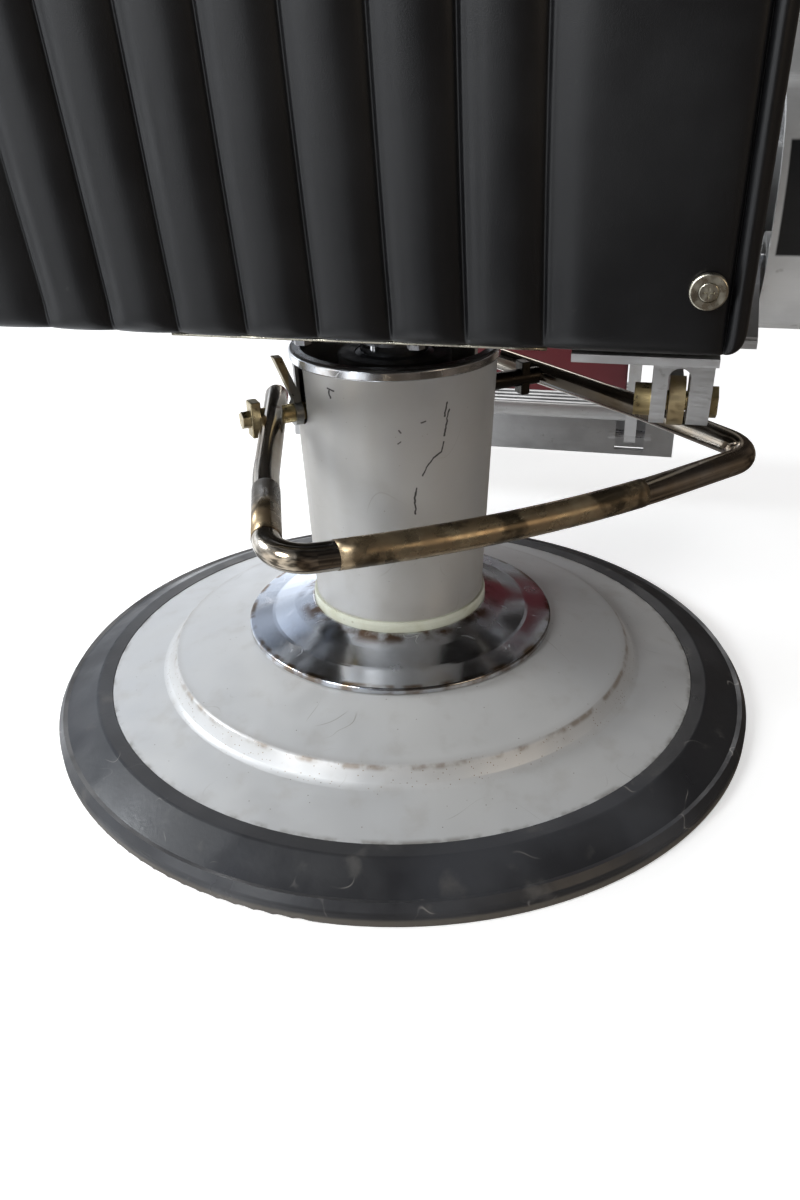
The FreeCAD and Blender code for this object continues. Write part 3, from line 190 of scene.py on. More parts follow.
class Finish:
    """A material being put together: a Principled shader and short calls for the usual nodes."""

    def __init__(self, name, colour, roughness, metallic=0.0):
        self.material = bpy.data.materials.new(name)
        self.material.use_nodes = True
        self.tree = self.material.node_tree
        self.shader = self.tree.nodes["Principled BSDF"]
        self.shader.inputs["Base Color"].default_value = (*colour, 1)
        self.shader.inputs["Roughness"].default_value = roughness
        self.shader.inputs["Metallic"].default_value = metallic
        self.paint = (*colour, 1)
        self.normal = None
        self.place = self.node("ShaderNodeTexCoord").outputs["Object"]
        self.parts = None

    def node(self, kind, **settings):
        made = self.tree.nodes.new(kind)
        for name, value in settings.items():
            setattr(made, name, value)
        return made

    def feed(self, socket, value):
        if isinstance(value, bpy.types.NodeSocket):
            self.tree.links.new(value, socket)
        else:
            socket.default_value = value

    def set(self, name, value):
        """A constant or a texture on one of the shader's own sockets."""
        self.feed(self.shader.inputs[name], value)
        return self

    def axis(self, letter):
        if self.parts is None:
            self.parts = self.node("ShaderNodeSeparateXYZ")
            self.feed(self.parts.inputs[0], self.place)
        return self.parts.outputs[letter.upper()]

    def maths(self, operation, *values):
        made = self.node("ShaderNodeMath", operation=operation)
        for socket, value in zip(made.inputs, values):
            self.feed(socket, value)
        return made.outputs[0]

    def radius(self):
        """The distance from the column's axis."""
        return self.maths("SQRT", self.maths("ADD", self.maths("POWER", self.axis("x"), 2.0),
                                             self.maths("POWER", self.axis("y"), 2.0)))

    def stretched(self, along):
        """The place, squeezed along each axis so that a texture streaks."""
        made = self.node("ShaderNodeMapping")
        self.feed(made.inputs["Vector"], self.place)
        made.inputs["Scale"].default_value = along
        return made.outputs[0]

    def noise(self, scale, detail=3.0, along=None, warp=0.0, seed=0.0):
        made = self.node("ShaderNodeTexNoise", noise_dimensions="4D")
        self.feed(made.inputs["Vector"], self.stretched(along) if along else self.place)
        made.inputs["Scale"].default_value = scale
        made.inputs["Detail"].default_value = detail
        made.inputs["Distortion"].default_value = warp
        made.inputs["W"].default_value = seed
        return made.outputs["Fac"]

    def cells(self, scale, feature="F1", output="Distance"):
        made = self.node("ShaderNodeTexVoronoi", feature=feature)
        self.feed(made.inputs["Vector"], self.place)
        made.inputs["Scale"].default_value = scale
        return made.outputs[output]

    def step(self, value, low, high, to_low=0.0, to_high=1.0):
        """A smooth step from to_low to to_high as value goes from low to high."""
        made = self.node("ShaderNodeMapRange", interpolation_type="SMOOTHSTEP")
        for name, number in zip(("Value", "From Min", "From Max", "To Min", "To Max"),
                                (value, low, high, to_low, to_high)):
            self.feed(made.inputs[name], number)
        return made.outputs[0]

    def vector(self, operation, *values):
        made = self.node("ShaderNodeVectorMath", operation=operation)
        sockets = [made.inputs[0], made.inputs["Scale"]] if operation == "SCALE" else made.inputs
        for socket, value in zip(sockets, values):
            self.feed(socket, value)
        return made.outputs["Value" if operation in ("DOT_PRODUCT", "DISTANCE") else "Vector"]

    def strokes(self, place, lines, width):
        """1 along thin straight strokes, each a run of flat points on the place given."""
        nearest = 1.0
        for line in lines:
            for start, end in zip(line, line[1:]):
                start, end = Vector((*start, 0)), Vector((*end, 0))
                run = end - start
                off = self.vector("SUBTRACT", place, start)
                share = self.maths("MULTIPLY", self.vector("DOT_PRODUCT", off, run),
                                   1 / run.length_squared)
                share.node.use_clamp = True
                foot = self.vector("SCALE", run, share)
                nearest = self.maths("MINIMUM", nearest, self.vector("DISTANCE", off, foot))
        return self.step(nearest, width * 0.4, width, 1.0, 0.0)

    def band(self, value, middle, half, soft):
        """1 where value is within half of middle, 0 beyond."""
        off = self.maths("ABSOLUTE", self.maths("SUBTRACT", value, middle))
        return self.step(off, half, half + soft, 1.0, 0.0)

    def layer(self, mask, colour):
        """Paint one more colour over what is there, where the mask is 1."""
        made = self.node("ShaderNodeMix", data_type="RGBA")
        self.feed(made.inputs[0], mask)
        self.feed(made.inputs[6], self.paint)
        self.feed(made.inputs[7], (*colour, 1) if isinstance(colour, tuple) else colour)
        self.paint = made.outputs[2]
        self.set("Base Color", self.paint)

    def relief(self, height, depth, strength=1.0):
        """Bumps of that depth in metres, added to the earlier ones."""
        made = self.node("ShaderNodeBump")
        made.inputs["Strength"].default_value = strength
        made.inputs["Distance"].default_value = depth
        self.feed(made.inputs["Height"], height)
        if self.normal is not None:
            self.feed(made.inputs["Normal"], self.normal)
        self.normal = made.outputs[0]
        self.set("Normal", self.normal)


def wear(piece, finish):
    piece.data.materials.clear()
    piece.data.materials.append(finish.material)


def scratches(finish, scale, along, seed, keep=0.012):
    """Thin long lines: where a streaked noise crosses its middle value."""
    streaks = finish.noise(scale, 1, along, 0.4, seed)
    line = finish.maths("ABSOLUTE", finish.maths("SUBTRACT", streaks, 0.5))
    patch = finish.step(finish.noise(scale * 0.8, 2, seed=seed + 3), 0.55, 0.66)
    return finish.maths("MULTIPLY", finish.step(line, 0.0, keep, 1.0, 0.0), patch)


def vinyl(name, colour, rough=0.37):
    """Grained vinyl: fine pebble grain, soft creases, a slightly uneven shine."""
    made = Finish(name, colour, rough)
    pale = tuple(min(1.0, part * 1.5 + 0.001) for part in colour)
    made.layer(made.step(made.noise(9, 4), 0.42, 0.75, 0.0, 0.55), pale)
    made.layer(made.step(made.noise(130, 2, seed=5), 0.72, 0.79, 0.0, 0.25), (0.035, 0.033, 0.031))
    shine = made.step(made.noise(14, 3, seed=2), 0.3, 0.7, rough - 0.07, rough + 0.09)
    made.set("Roughness", shine)
    made.relief(made.cells(1500), 0.00008, 0.55)
    made.relief(made.noise(420, 3, seed=7), 0.00006, 0.6)
    made.relief(made.noise(26, 3, seed=9), 0.0009, 0.35)
    made.set("Specular IOR Level", 0.5)
    return made


def black_rubber():
    made = Finish("black_rubber", (0.018, 0.018, 0.020), 0.42)
    made.layer(made.step(made.noise(7, 5), 0.42, 0.72, 0.0, 0.75), (0.048, 0.050, 0.056))
    made.layer(made.step(made.noise(34, 5, seed=4), 0.58, 0.72, 0.0, 0.5), (0.085, 0.080, 0.074))
    made.layer(scratches(made, 30, (1, 1, 1), 11), (0.16, 0.15, 0.14))
    made.layer(made.band(made.axis("z"), 0.003, 0.003, 0.004), (0.075, 0.066, 0.055))
    made.set("Roughness", made.step(made.noise(20, 4, seed=6), 0.3, 0.75, 0.27, 0.55))
    made.relief(made.noise(300, 4, seed=8), 0.0002, 0.5)
    made.relief(made.noise(22, 4, seed=3), 0.0012, 0.35)
    made.set("Specular IOR Level", 0.5)
    return made


def silver_paint(name, metallic=0.3, shade=1.0):
    """Sprayed silver on sheet steel, hazed and specked with chips down to the primer. A last number below 1
    darkens every colour: painted shade, for a shaded copy of the paint.
    """
    plain, pale, dull = (tuple(part * shade for part in colour) for colour in
                         ((0.50, 0.505, 0.51), (0.57, 0.565, 0.55), (0.41, 0.395, 0.375)))
    made = Finish(name, plain, 0.40, metallic)
    made.layer(made.step(made.noise(5, 4), 0.35, 0.7, 0.0, 0.6), pale)
    made.layer(made.step(made.noise(42, 5, seed=2), 0.50, 0.75, 0.0, 0.45), dull)
    made.layer(made.step(made.cells(95), 0.035, 0.06, 0.8, 0.0), (0.13, 0.11, 0.09))
    made.layer(scratches(made, 16, (1, 1, 0.6), 21, 0.005), (0.30, 0.29, 0.27))
    made.set("Roughness", made.step(made.noise(30, 4, seed=7), 0.3, 0.7, 0.33, 0.5))
    made.relief(made.noise(700, 3, seed=9), 0.00006, 0.5)
    made.relief(made.noise(13, 2, seed=12), 0.0014, 0.22)
    return made


def cover_paint():
    """The base cover's paint: dirt settled in the crease with a soft painted shade along it, and the rim rubbed
    off in places.
    """
    made = silver_paint("cover_paint")
    crease = 0.2238
    radius = made.radius()
    ragged = made.step(made.noise(75, 5, seed=5), 0.40, 0.66)
    made.layer(made.maths("MULTIPLY", made.band(radius, crease, 0.0004, 0.0022), ragged),
               (0.24, 0.20, 0.165))
    # A soft grey band along the crease: painted shade.
    made.layer(made.maths("MULTIPLY", made.band(radius, 0.2235, 0.001, 0.008), 0.28),
               (0.34, 0.32, 0.30))
    specks = made.step(made.cells(260), 0.10, 0.16, 1.0, 0.0)
    made.layer(made.maths("MULTIPLY", specks, made.band(radius, 0.228, 0.004, 0.006)),
               (0.23, 0.17, 0.12))
    rim = made.step(radius, 0.281, 0.2865)
    made.layer(made.maths("MULTIPLY", rim, ragged), (0.25, 0.24, 0.225))
    return made


def column_paint():
    """The column's paint: the silver paint darkened all over, which is painted shade, with the marks that shoes
    and the bar have left on its rear.

    A stroke's points are metres along the girth from the middle of the rear, and metres up."""
    # 0.86 darkens the silver paint all over: painted shade.
    made = silver_paint("column_paint", 0.5, 0.86)
    warm = made.step(made.noise(11, 3, (1, 1, 0.35), seed=22), 0.34, 0.66, 0.25, 0.8)
    made.layer(warm, (0.41, 0.385, 0.35))
    turned = made.maths("ARCTAN2", made.maths("MULTIPLY", made.axis("x"), -1.0), made.axis("y"))
    middle, girth_radius = math.radians(14), 0.086
    along = made.maths("MULTIPLY", made.maths("SUBTRACT", turned, middle), girth_radius)
    flat = made.node("ShaderNodeCombineXYZ")
    sway = made.maths("MULTIPLY", made.maths("SUBTRACT", made.noise(170, 2, seed=15), 0.5), 0.004)
    made.feed(flat.inputs[0], made.maths("ADD", along, sway))
    made.feed(flat.inputs[1], made.axis("z"))
    deep = (((0.0425, 0.3185), (0.0400, 0.3070)),
            ((0.0445, 0.3120), (0.0425, 0.3050), (0.0405, 0.2900)),
            ((0.0400, 0.2845), (0.0380, 0.2765), (0.0310, 0.2720), (0.0245, 0.2635),
             (0.0215, 0.2570)),
            ((0.0160, 0.2460), (0.0145, 0.2360), (0.0155, 0.2220)),
            ((-0.058, 0.3300), (-0.051, 0.3285)), ((-0.056, 0.3285), (-0.0555, 0.3220)))
    fine = (((0.0020, 0.2985), (0.0035, 0.2965)), ((0.0015, 0.2870), (0.0035, 0.2885)),
            ((0.0200, 0.3040), (0.0240, 0.3050)), ((-0.020, 0.1900), (-0.012, 0.1960)))
    made.layer(made.strokes(flat.outputs[0], deep, 0.0010), (0.045, 0.042, 0.040))
    made.layer(made.strokes(flat.outputs[0], fine, 0.0009), (0.10, 0.09, 0.085))
    return made


def chrome(name, rough, stain=0.35, colour=(0.72, 0.73, 0.75)):
    made = Finish(name, colour, rough, 1.0)
    made.layer(made.step(made.noise(30, 5, seed=2), 0.52, 0.72, 0.0, stain), (0.42, 0.33, 0.22))
    made.layer(made.step(made.cells(170), 0.05, 0.10, stain * 1.6, 0.0), (0.16, 0.10, 0.06))
    streaks = scratches(made, 45, (1, 1, 1), 31, 0.02)
    made.layer(made.maths("MULTIPLY", streaks, 0.5), (0.9, 0.9, 0.92))
    haze = made.step(made.noise(24, 5, seed=4), 0.4, 0.75, rough, rough + 0.2)
    made.set("Roughness", made.maths("ADD", haze, made.maths("MULTIPLY", streaks, 0.22)))
    made.relief(made.noise(260, 3, seed=6), 0.00008, 0.3)
    made.relief(made.noise(18, 2, seed=8), 0.0008, 0.2)
    return made


def flange_chrome():
    """The flange: blue-grey, scuffed by feet, with old dirt round the collar."""
    made = chrome("flange_chrome", 0.13, 0.25, (0.60, 0.63, 0.68))
    radius = made.radius()
    scuffs = scratches(made, 22, (1, 1, 1), 51, 0.05)
    made.layer(made.maths("MULTIPLY", scuffs, 0.6), (0.86, 0.87, 0.9))
    dirt = made.step(made.noise(48, 5, seed=14), 0.42, 0.62)
    collar = made.band(radius, 0.087, 0.003, 0.014)
    made.layer(made.maths("MULTIPLY", collar, dirt), (0.15, 0.10, 0.07))
    outer_rim = made.band(radius, 0.147, 0.001, 0.004)
    made.layer(made.maths("MULTIPLY", outer_rim, dirt), (0.20, 0.14, 0.09))
    return made


def bar_chrome():
    """The foot bar: plating gone thin and brown where shoes rub it, on a darker, warmer base colour that paints in
    the bar's dark brown reflections.
    """
    # The darker, warmer base colour is painted reflection; the stains below are wear.
    made = chrome("bar_chrome", 0.11, 0.5, (0.50, 0.46, 0.40))
    made.layer(made.step(made.noise(15, 4, seed=41), 0.45, 0.65, 0.0, 0.75), (0.33, 0.25, 0.16))
    made.layer(made.step(made.noise(60, 5, seed=44), 0.62, 0.72, 0.0, 0.7), (0.10, 0.05, 0.03))
    return made


def cast_metal(name, colour, rough, metallic=0.85, grime=(0.16, 0.15, 0.13)):
    """A sand casting that has been linished: faint lay, pits and grey bloom."""
    made = Finish(name, colour, rough, metallic)
    pale = tuple(part * 0.78 for part in colour)
    made.layer(made.step(made.noise(26, 5), 0.4, 0.7, 0.0, 0.7), pale)
    made.layer(made.step(made.noise(110, 4, seed=4), 0.62, 0.74, 0.0, 0.5), grime)
    lay = made.noise(90, 2, (1, 1, 9), 0.2, 5)
    made.set("Roughness", made.step(lay, 0.3, 0.7, rough - 0.08, rough + 0.12))
    made.relief(made.noise(520, 4, seed=6), 0.00010, 0.4)
    made.relief(lay, 0.00002, 0.2)
    return made


def turned_metal(name, colour, rough, grime=(0.10, 0.08, 0.06)):
    """Machined or plated small parts, tarnished in patches."""
    made = Finish(name, colour, rough, 1.0)
    dull = tuple(part * 0.6 for part in colour)
    made.layer(made.step(made.noise(130, 4), 0.46, 0.66, 0.0, 0.75), dull)
    made.layer(made.step(made.noise(240, 4, seed=3), 0.6, 0.72, 0.0, 0.7), grime)
    shine = made.step(made.noise(160, 3, seed=5), 0.3, 0.7, rough - 0.06, rough + 0.18)
    made.set("Roughness", shine)
    made.relief(made.noise(900, 3, seed=6), 0.00008, 0.5)
    return made


def cream_nylon():
    made = Finish("cream_nylon", (0.46, 0.47, 0.39), 0.42)
    made.layer(made.step(made.noise(60, 4), 0.42, 0.72, 0.0, 0.6), (0.36, 0.35, 0.25))
    made.layer(made.step(made.noise(220, 3, seed=3), 0.62, 0.72, 0.0, 0.5), (0.22, 0.19, 0.13))
    made.relief(made.noise(400, 3, seed=5), 0.0001, 0.4)
    return made


def plywood(name="plywood", stain=1.0):
    """Plywood, or plywood stained dark where stain is small."""
    bare, grain, ply = (tuple(part * stain for part in colour) for colour in
                        ((0.42, 0.29, 0.17), (0.29, 0.18, 0.10), (0.22, 0.13, 0.07)))
    made = Finish(name, bare, 0.62)
    made.layer(made.step(made.noise(12, 5, (1, 8, 1), 1.5), 0.35, 0.65, 0.0, 0.8), grain)
    plies = made.step(made.maths("SINE", made.maths("MULTIPLY", made.axis("z"), 1500.0)), -0.4, 0.4)
    made.layer(made.maths("MULTIPLY", plies, 0.35), ply)
    made.relief(made.noise(80, 4, (1, 10, 1), seed=3), 0.0003, 0.5)
    return made


def plastic():
    made = Finish("black_plastic", (0.015, 0.015, 0.016), 0.28)
    made.layer(made.step(made.noise(40, 4), 0.45, 0.7, 0.0, 0.5), (0.035, 0.034, 0.033))
    made.set("Roughness", made.step(made.noise(70, 4, seed=2), 0.3, 0.7, 0.22, 0.4))
    made.relief(made.noise(500, 2, seed=4), 0.00005, 0.4)
    return made


def old_tape():
    """Clear tape gone amber, worn through to the chrome in places."""
    made = Finish("old_tape", (0.29, 0.215, 0.13), 0.26, 0.85)
    made.layer(made.step(made.noise(55, 4), 0.4, 0.68, 0.0, 0.7), (0.45, 0.365, 0.235))
    made.layer(made.step(made.noise(30, 5, seed=4), 0.49, 0.59, 0.0, 0.92), (0.065, 0.050, 0.032))
    grey = made.step(made.noise(17, 3, (1, 1, 0.5), seed=9), 0.55, 0.63, 0.0, 0.6)
    made.layer(grey, (0.16, 0.13, 0.09))
    made.set("Roughness", made.step(made.noise(80, 3, seed=6), 0.3, 0.7, 0.2, 0.42))
    made.relief(made.noise(70, 4, seed=8), 0.0004, 0.5)
    return made


def arm_casting():
    """Polished rims, and painted shade: near-black in the recess of the web and in a band on the rear face behind
    the pivot.
    """
    made = cast_metal("arm_casting", (0.62, 0.62, 0.615), 0.36)
    arm_middle, polish = 0.295, 0.4
    facing = made.node("ShaderNodeSeparateXYZ")
    made.feed(facing.inputs[0], made.node("ShaderNodeTexCoord").outputs["Normal"])
    sideways = made.step(made.maths("ABSOLUTE", facing.outputs[0]), 0.75, 0.85)
    web = made.band(made.maths("ABSOLUTE", made.axis("x")), arm_middle, 0.0095, 0.002)
    rearward = made.maths("MULTIPLY", made.step(facing.outputs[1], 0.55, 0.7),
                          made.step(made.axis("y"), 0.16, 0.17))
    across = made.maths("ABSOLUTE", made.axis("x"))
    recess = made.maths("MULTIPLY", made.band(made.axis("z"), 0.492, 0.030, 0.002),
                        made.band(across, arm_middle, 0.0125, 0.0015))
    # Near-black in the web's recess and in a band on the rear face: painted shade, with no metal shine there.
    painted = made.maths("MAXIMUM", made.maths("MULTIPLY", sideways, web),
                         made.maths("MULTIPLY", rearward, recess))
    made.layer(painted, (0.014, 0.014, 0.015))
    made.set("Metallic", made.maths("SUBTRACT", polish, made.maths("MULTIPLY", painted, polish)))
    return made


def shaft_plating():
    """Yellow plating, painted near-black on the side that the bar hides: painted shade."""
    made = turned_metal("shaft_plating", (0.60, 0.48, 0.25), 0.3)
    # Near-black on the side that the bar hides: painted shade.
    hidden_side_shade = made.step(made.axis("x"), -0.02, 0.02, 1.0, 0.0)
    made.layer(hidden_side_shade, (0.035, 0.03, 0.025))
    return made


def clamp_plating():
    """Yellow plating on the left, grey on its flat arm, and the right clamp painted near-black: painted shade."""
    made = turned_metal("clamp_plating", (0.50, 0.42, 0.26), 0.3)
    along = made.maths("ADD", made.maths("MULTIPLY", made.axis("x"), math.cos(PUMP_YAW)),
                       made.maths("MULTIPLY", made.axis("y"), math.sin(PUMP_YAW)))
    made.layer(made.step(along, 0.0995, 0.1015, 1.0, 0.0), (0.30, 0.30, 0.285))
    # Near-black over the right clamp: painted shade.
    made.layer(made.step(along, -0.02, 0.02, 1.0, 0.0), (0.040, 0.036, 0.030))
    return made


def link_plating():
    """Grey flat bar with yellow-plated ends."""
    made = turned_metal("link_plating", (0.42, 0.41, 0.39), 0.34)
    ends = made.maths("ABSOLUTE", made.maths("SUBTRACT", made.axis("y"), 0.0005))
    made.layer(made.step(ends, 0.205, 0.213, 0.0, 0.8), (0.62, 0.47, 0.23))
    return made


def dress_frame():
    """Give every node of the frame its finish: its slot's own, or one for that piece."""
    finishes = {
        "black_rubber": black_rubber(), "silver_paint": silver_paint("silver_paint"),
        "iron": cast_metal("iron", (0.060, 0.056, 0.052), 0.6, 0.6, (0.09, 0.055, 0.035)),
        "chrome": chrome("chrome", 0.09), "cream_nylon": cream_nylon(),
        "steel": turned_metal("steel", (0.46, 0.46, 0.47), 0.3),
        "bronze": turned_metal("bronze", (0.52, 0.36, 0.18), 0.32),
        "yellow_zinc": turned_metal("yellow_zinc", (0.52, 0.41, 0.21), 0.3),
        "seal_rubber": black_rubber(),
        "cast_aluminium": cast_metal("cast_aluminium", (0.60, 0.60, 0.60), 0.4),
        "plywood": plywood(), "black_vinyl": vinyl("black_vinyl", (0.0030, 0.0030, 0.0036)),
        "maroon_vinyl": vinyl("maroon_vinyl", (0.15, 0.018, 0.024), 0.4),
        "nickel": turned_metal("nickel", (0.70, 0.66, 0.54), 0.24, (0.22, 0.18, 0.11)),
        "black_plastic": plastic(),
        "spring_steel": turned_metal("spring_steel", (0.32, 0.32, 0.33), 0.35),
    }
    own = {
        "base_cover": cover_paint(), "column_shroud": column_paint(),
        "base_flange": flange_chrome(),
        "pump_bar": bar_chrome(), "bar_end_plugs": bar_chrome(), "pump_shafts": shaft_plating(),
        "column_trim_ring": chrome("ring_chrome", 0.16, 0.55), "link_rod": link_plating(),
        "hydraulic_cylinder": finishes["iron"], "cylinder_gland": finishes["iron"],
    }
    own["bar_clamps"] = own["clamp_bolts"] = clamp_plating()
    own["back_board"] = own["seat_board"] = plywood("stained_plywood", 0.045)
    own["arm_frame_right"] = own["arm_frame_left"] = arm_casting()
    for part in frame["record"]["subparts"]:
        wear(frame["nodes"][part["node"]], own.get(part["node"], finishes[part["material_slot"]]))
    return finishes


# ---- soft forms ------------------------------------------------------------------------------


def spread(low, high, cell):
    """Even stations from low to high, no further apart than cell."""
    count = max(1, math.ceil((high - low) / cell - 1e-6))
    return [low + (high - low) * index / count for index in range(count + 1)]


def lattice_box(xs, ys, zs):
    """The skin of a box as quads, with its grid lines at the given stations."""
    mesh = bmesh.new()
    made = {}

    def corner(i, j, k):
        if (i, j, k) not in made:
            made[i, j, k] = mesh.verts.new((xs[i], ys[j], zs[k]))
        return made[i, j, k]

    last = len(xs) - 1, len(ys) - 1, len(zs) - 1
    for across, up, fixed in ((0, 1, 2), (1, 2, 0), (2, 0, 1)):
        for end in (0, last[fixed]):
            for a in range(last[across]):
                for b in range(last[up]):
                    quad = []
                    for da, db in ((0, 0), (1, 0), (1, 1), (0, 1)):
                        spot = [0, 0, 0]
                        spot[across], spot[up], spot[fixed] = a + da, b + db, end
                        quad.append(corner(*spot))
                    mesh.faces.new(quad if end else reversed(quad))
    return mesh


def rounded(point, low, high, radius):
    """Pull a point of a box's skin in to the box with rounded edges."""
    inner = Vector([min(max(point[i], low[i] + radius), high[i] - radius) for i in range(3)])
    off = point - inner
    return inner + off.normalized() * radius if off.length > 1e-9 else point


def soft_mesh(name, mesh, levels=1):
    data = bpy.data.meshes.new(name)
    mesh.to_mesh(data)
    mesh.free()
    for face in data.polygons:
        face.use_smooth = True
    piece = bpy.data.objects.new(name, data)
    scene.collection.objects.link(piece)
    if levels:
        smooth = piece.modifiers.new("smooth", "SUBSURF")
        smooth.levels = smooth.render_levels = levels
    return piece


def stuff(piece, seams, pressure, cap, frames=18):
    """Fill a cover by cloth simulation. Points that seams() picks stay where they are sewn."""
    group = piece.vertex_groups.new(name="sewn")
    group.add([vertex.index for vertex in piece.data.vertices if seams(vertex.co)], 1.0, "REPLACE")
    smooth = [(item.levels, item.render_levels) for item in piece.modifiers]
    piece.modifiers.clear()
    cloth = piece.modifiers.new("filling", "CLOTH")
    cloth.settings.quality = 6
    cloth.settings.mass = 0.25
    cloth.settings.tension_stiffness = cloth.settings.compression_stiffness = 12
    cloth.settings.bending_stiffness = 0.4
    cloth.settings.use_pressure = True
    cloth.settings.uniform_pressure_force = pressure
    cloth.settings.vertex_group_mass = "sewn"
    cloth.settings.effector_weights.gravity = 0
    cloth.collision_settings.use_collision = False
    cloth.point_cache.frame_start, cloth.point_cache.frame_end = 1, frames
    for number in range(1, frames + 1):
        scene.frame_set(number)
    filled = piece.evaluated_get(bpy.context.evaluated_depsgraph_get())
    places = [vertex.co.copy() for vertex in filled.data.vertices]
    piece.modifiers.clear()
    for vertex, place in zip(piece.data.vertices, places):
        off = place - vertex.co
        vertex.co += off * min(1.0, cap / max(off.length, 1e-9))
    scene.frame_set(1)
    for levels, render_levels in smooth:
        again = piece.modifiers.new("smooth", "SUBSURF")
        again.levels, again.render_levels = levels, render_levels


def move_points(piece, change):
    """Replace each point's place by change(place)."""
    for vertex in piece.data.vertices:
        vertex.co = change(vertex.co.copy())


def tube(name, points, radius, closed=True):
    """A round bar along points, as a mesh: a welt, or a wire when it isn't closed."""
    curve = bpy.data.curves.new(name, "CURVE")
    curve.dimensions = "3D"
    curve.bevel_depth, curve.bevel_resolution = radius, 2
    spline = curve.splines.new("POLY")
    spline.points.add(len(points) - 1)
    for place, point in zip(spline.points, points):
        place.co = (*point, 1)
    spline.use_cyclic_u = closed
    curve.use_fill_caps = not closed
    holder = bpy.data.objects.new(name, curve)
    scene.collection.objects.link(holder)
    data = bpy.data.meshes.new_from_object(holder)
    bpy.data.objects.remove(holder)
    for face in data.polygons:
        face.use_smooth = True
    piece = bpy.data.objects.new(name, data)
    scene.collection.objects.link(piece)
    return piece


def rounded_rectangle(half, low, high, radius, step=0.006):
    """Points (across, up) round a rectangle with rounded corners, evenly spaced."""
    corners = ((half - radius, high - radius, 0), (-half + radius, high - radius, 90),
               (-half + radius, low + radius, 180), (half - radius, low + radius, 270))
    points = []
    for index, (across, up, start) in enumerate(corners):
        for turn in range(0, 91, 15):
            angle = math.radians(start + turn)
            points.append((across + radius * math.cos(angle), up + radius * math.sin(angle)))
        ahead = corners[(index + 1) % 4]
        angle = math.radians(start + 90)
        first = points[-1]
        last = (ahead[0] + radius * math.cos(angle), ahead[1] + radius * math.sin(angle))
        count = max(1, round(math.dist(first, last) / step))
        points += [(first[0] + (last[0] - first[0]) * part / count,
                    first[1] + (last[1] - first[1]) * part / count) for part in range(1, count)]
    return points


def put(piece, place, body, finish, stands_for=()):
    """Move a finished piece to its place, give it its finish, hang it on its body and hide the frame's parts that
    it stands for.
    """
    piece.data.transform(place)
    wear(piece, finish)
    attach(piece, body)
    if stands_for:
        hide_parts(*stands_for)


# ---- the channelled cover on the back --------------------------------------------------------

CHANNELS = 7
CHANNEL_PITCH = 0.0446
SEAMS = [(index - CHANNELS / 2) * CHANNEL_PITCH for index in range(CHANNELS + 1)]
SIDE_SEAM = 0.2545


def seam_shift(up):
    """The sewn lines lean and sway a little, as by hand."""
    return 0.0012 * math.sin(up * 11) + 0.006 * up


def channel_profile(across, deep, edge):
    """Height of the quilted face: a crown between neighbouring seams, 0 at a seam, up to deep."""
    if SIDE_SEAM < abs(across) and edge > SIDE_SEAM:
        roll = (abs(across) - SIDE_SEAM) / (edge - SIDE_SEAM)
        return deep * min(1.0, 2.2 * roll) ** 0.5
    if across <= SEAMS[0] or across >= SEAMS[-1]:
        reach = abs(across) - SEAMS[-1]
        far = max(0.0, min(edge, SIDE_SEAM) - abs(across))
        rise = 1 - (1 - min(1.0, reach / 0.034)) ** 2.6
        fall = 1 - (1 - min(1.0, far / 0.012)) ** 2.6
        return deep * rise * (0.35 + 0.65 * fall)
    share = ((across - SEAMS[0]) / CHANNEL_PITCH) % 1.0
    return deep * (1 - abs(2 * share - 1) ** 2.3) ** 0.9


def seam_stations(half, cell):
    """Stations across a face that close up at each seam."""
    stations = set()
    for seam in SEAMS:
        for off in (0, 0.0011, 0.0022, 0.0034, 0.0050, 0.0080, 0.0120, 0.0170):
            stations.update((round(seam - off, 5), round(seam + off, 5)))
    for side in (-1, 1):
        stations.update(round(side * at, 5) for at in spread(SEAMS[-1] + 0.024, half - 0.016, cell))
        stations.update(round(side * (half - off), 5) for off in
                        (0.0135, 0.0122, 0.0115, 0.0108, 0.0095, 0.0075, 0.005, 0.0025, 0))
    return sorted(at for at in stations if abs(at) <= half + 1e-6)


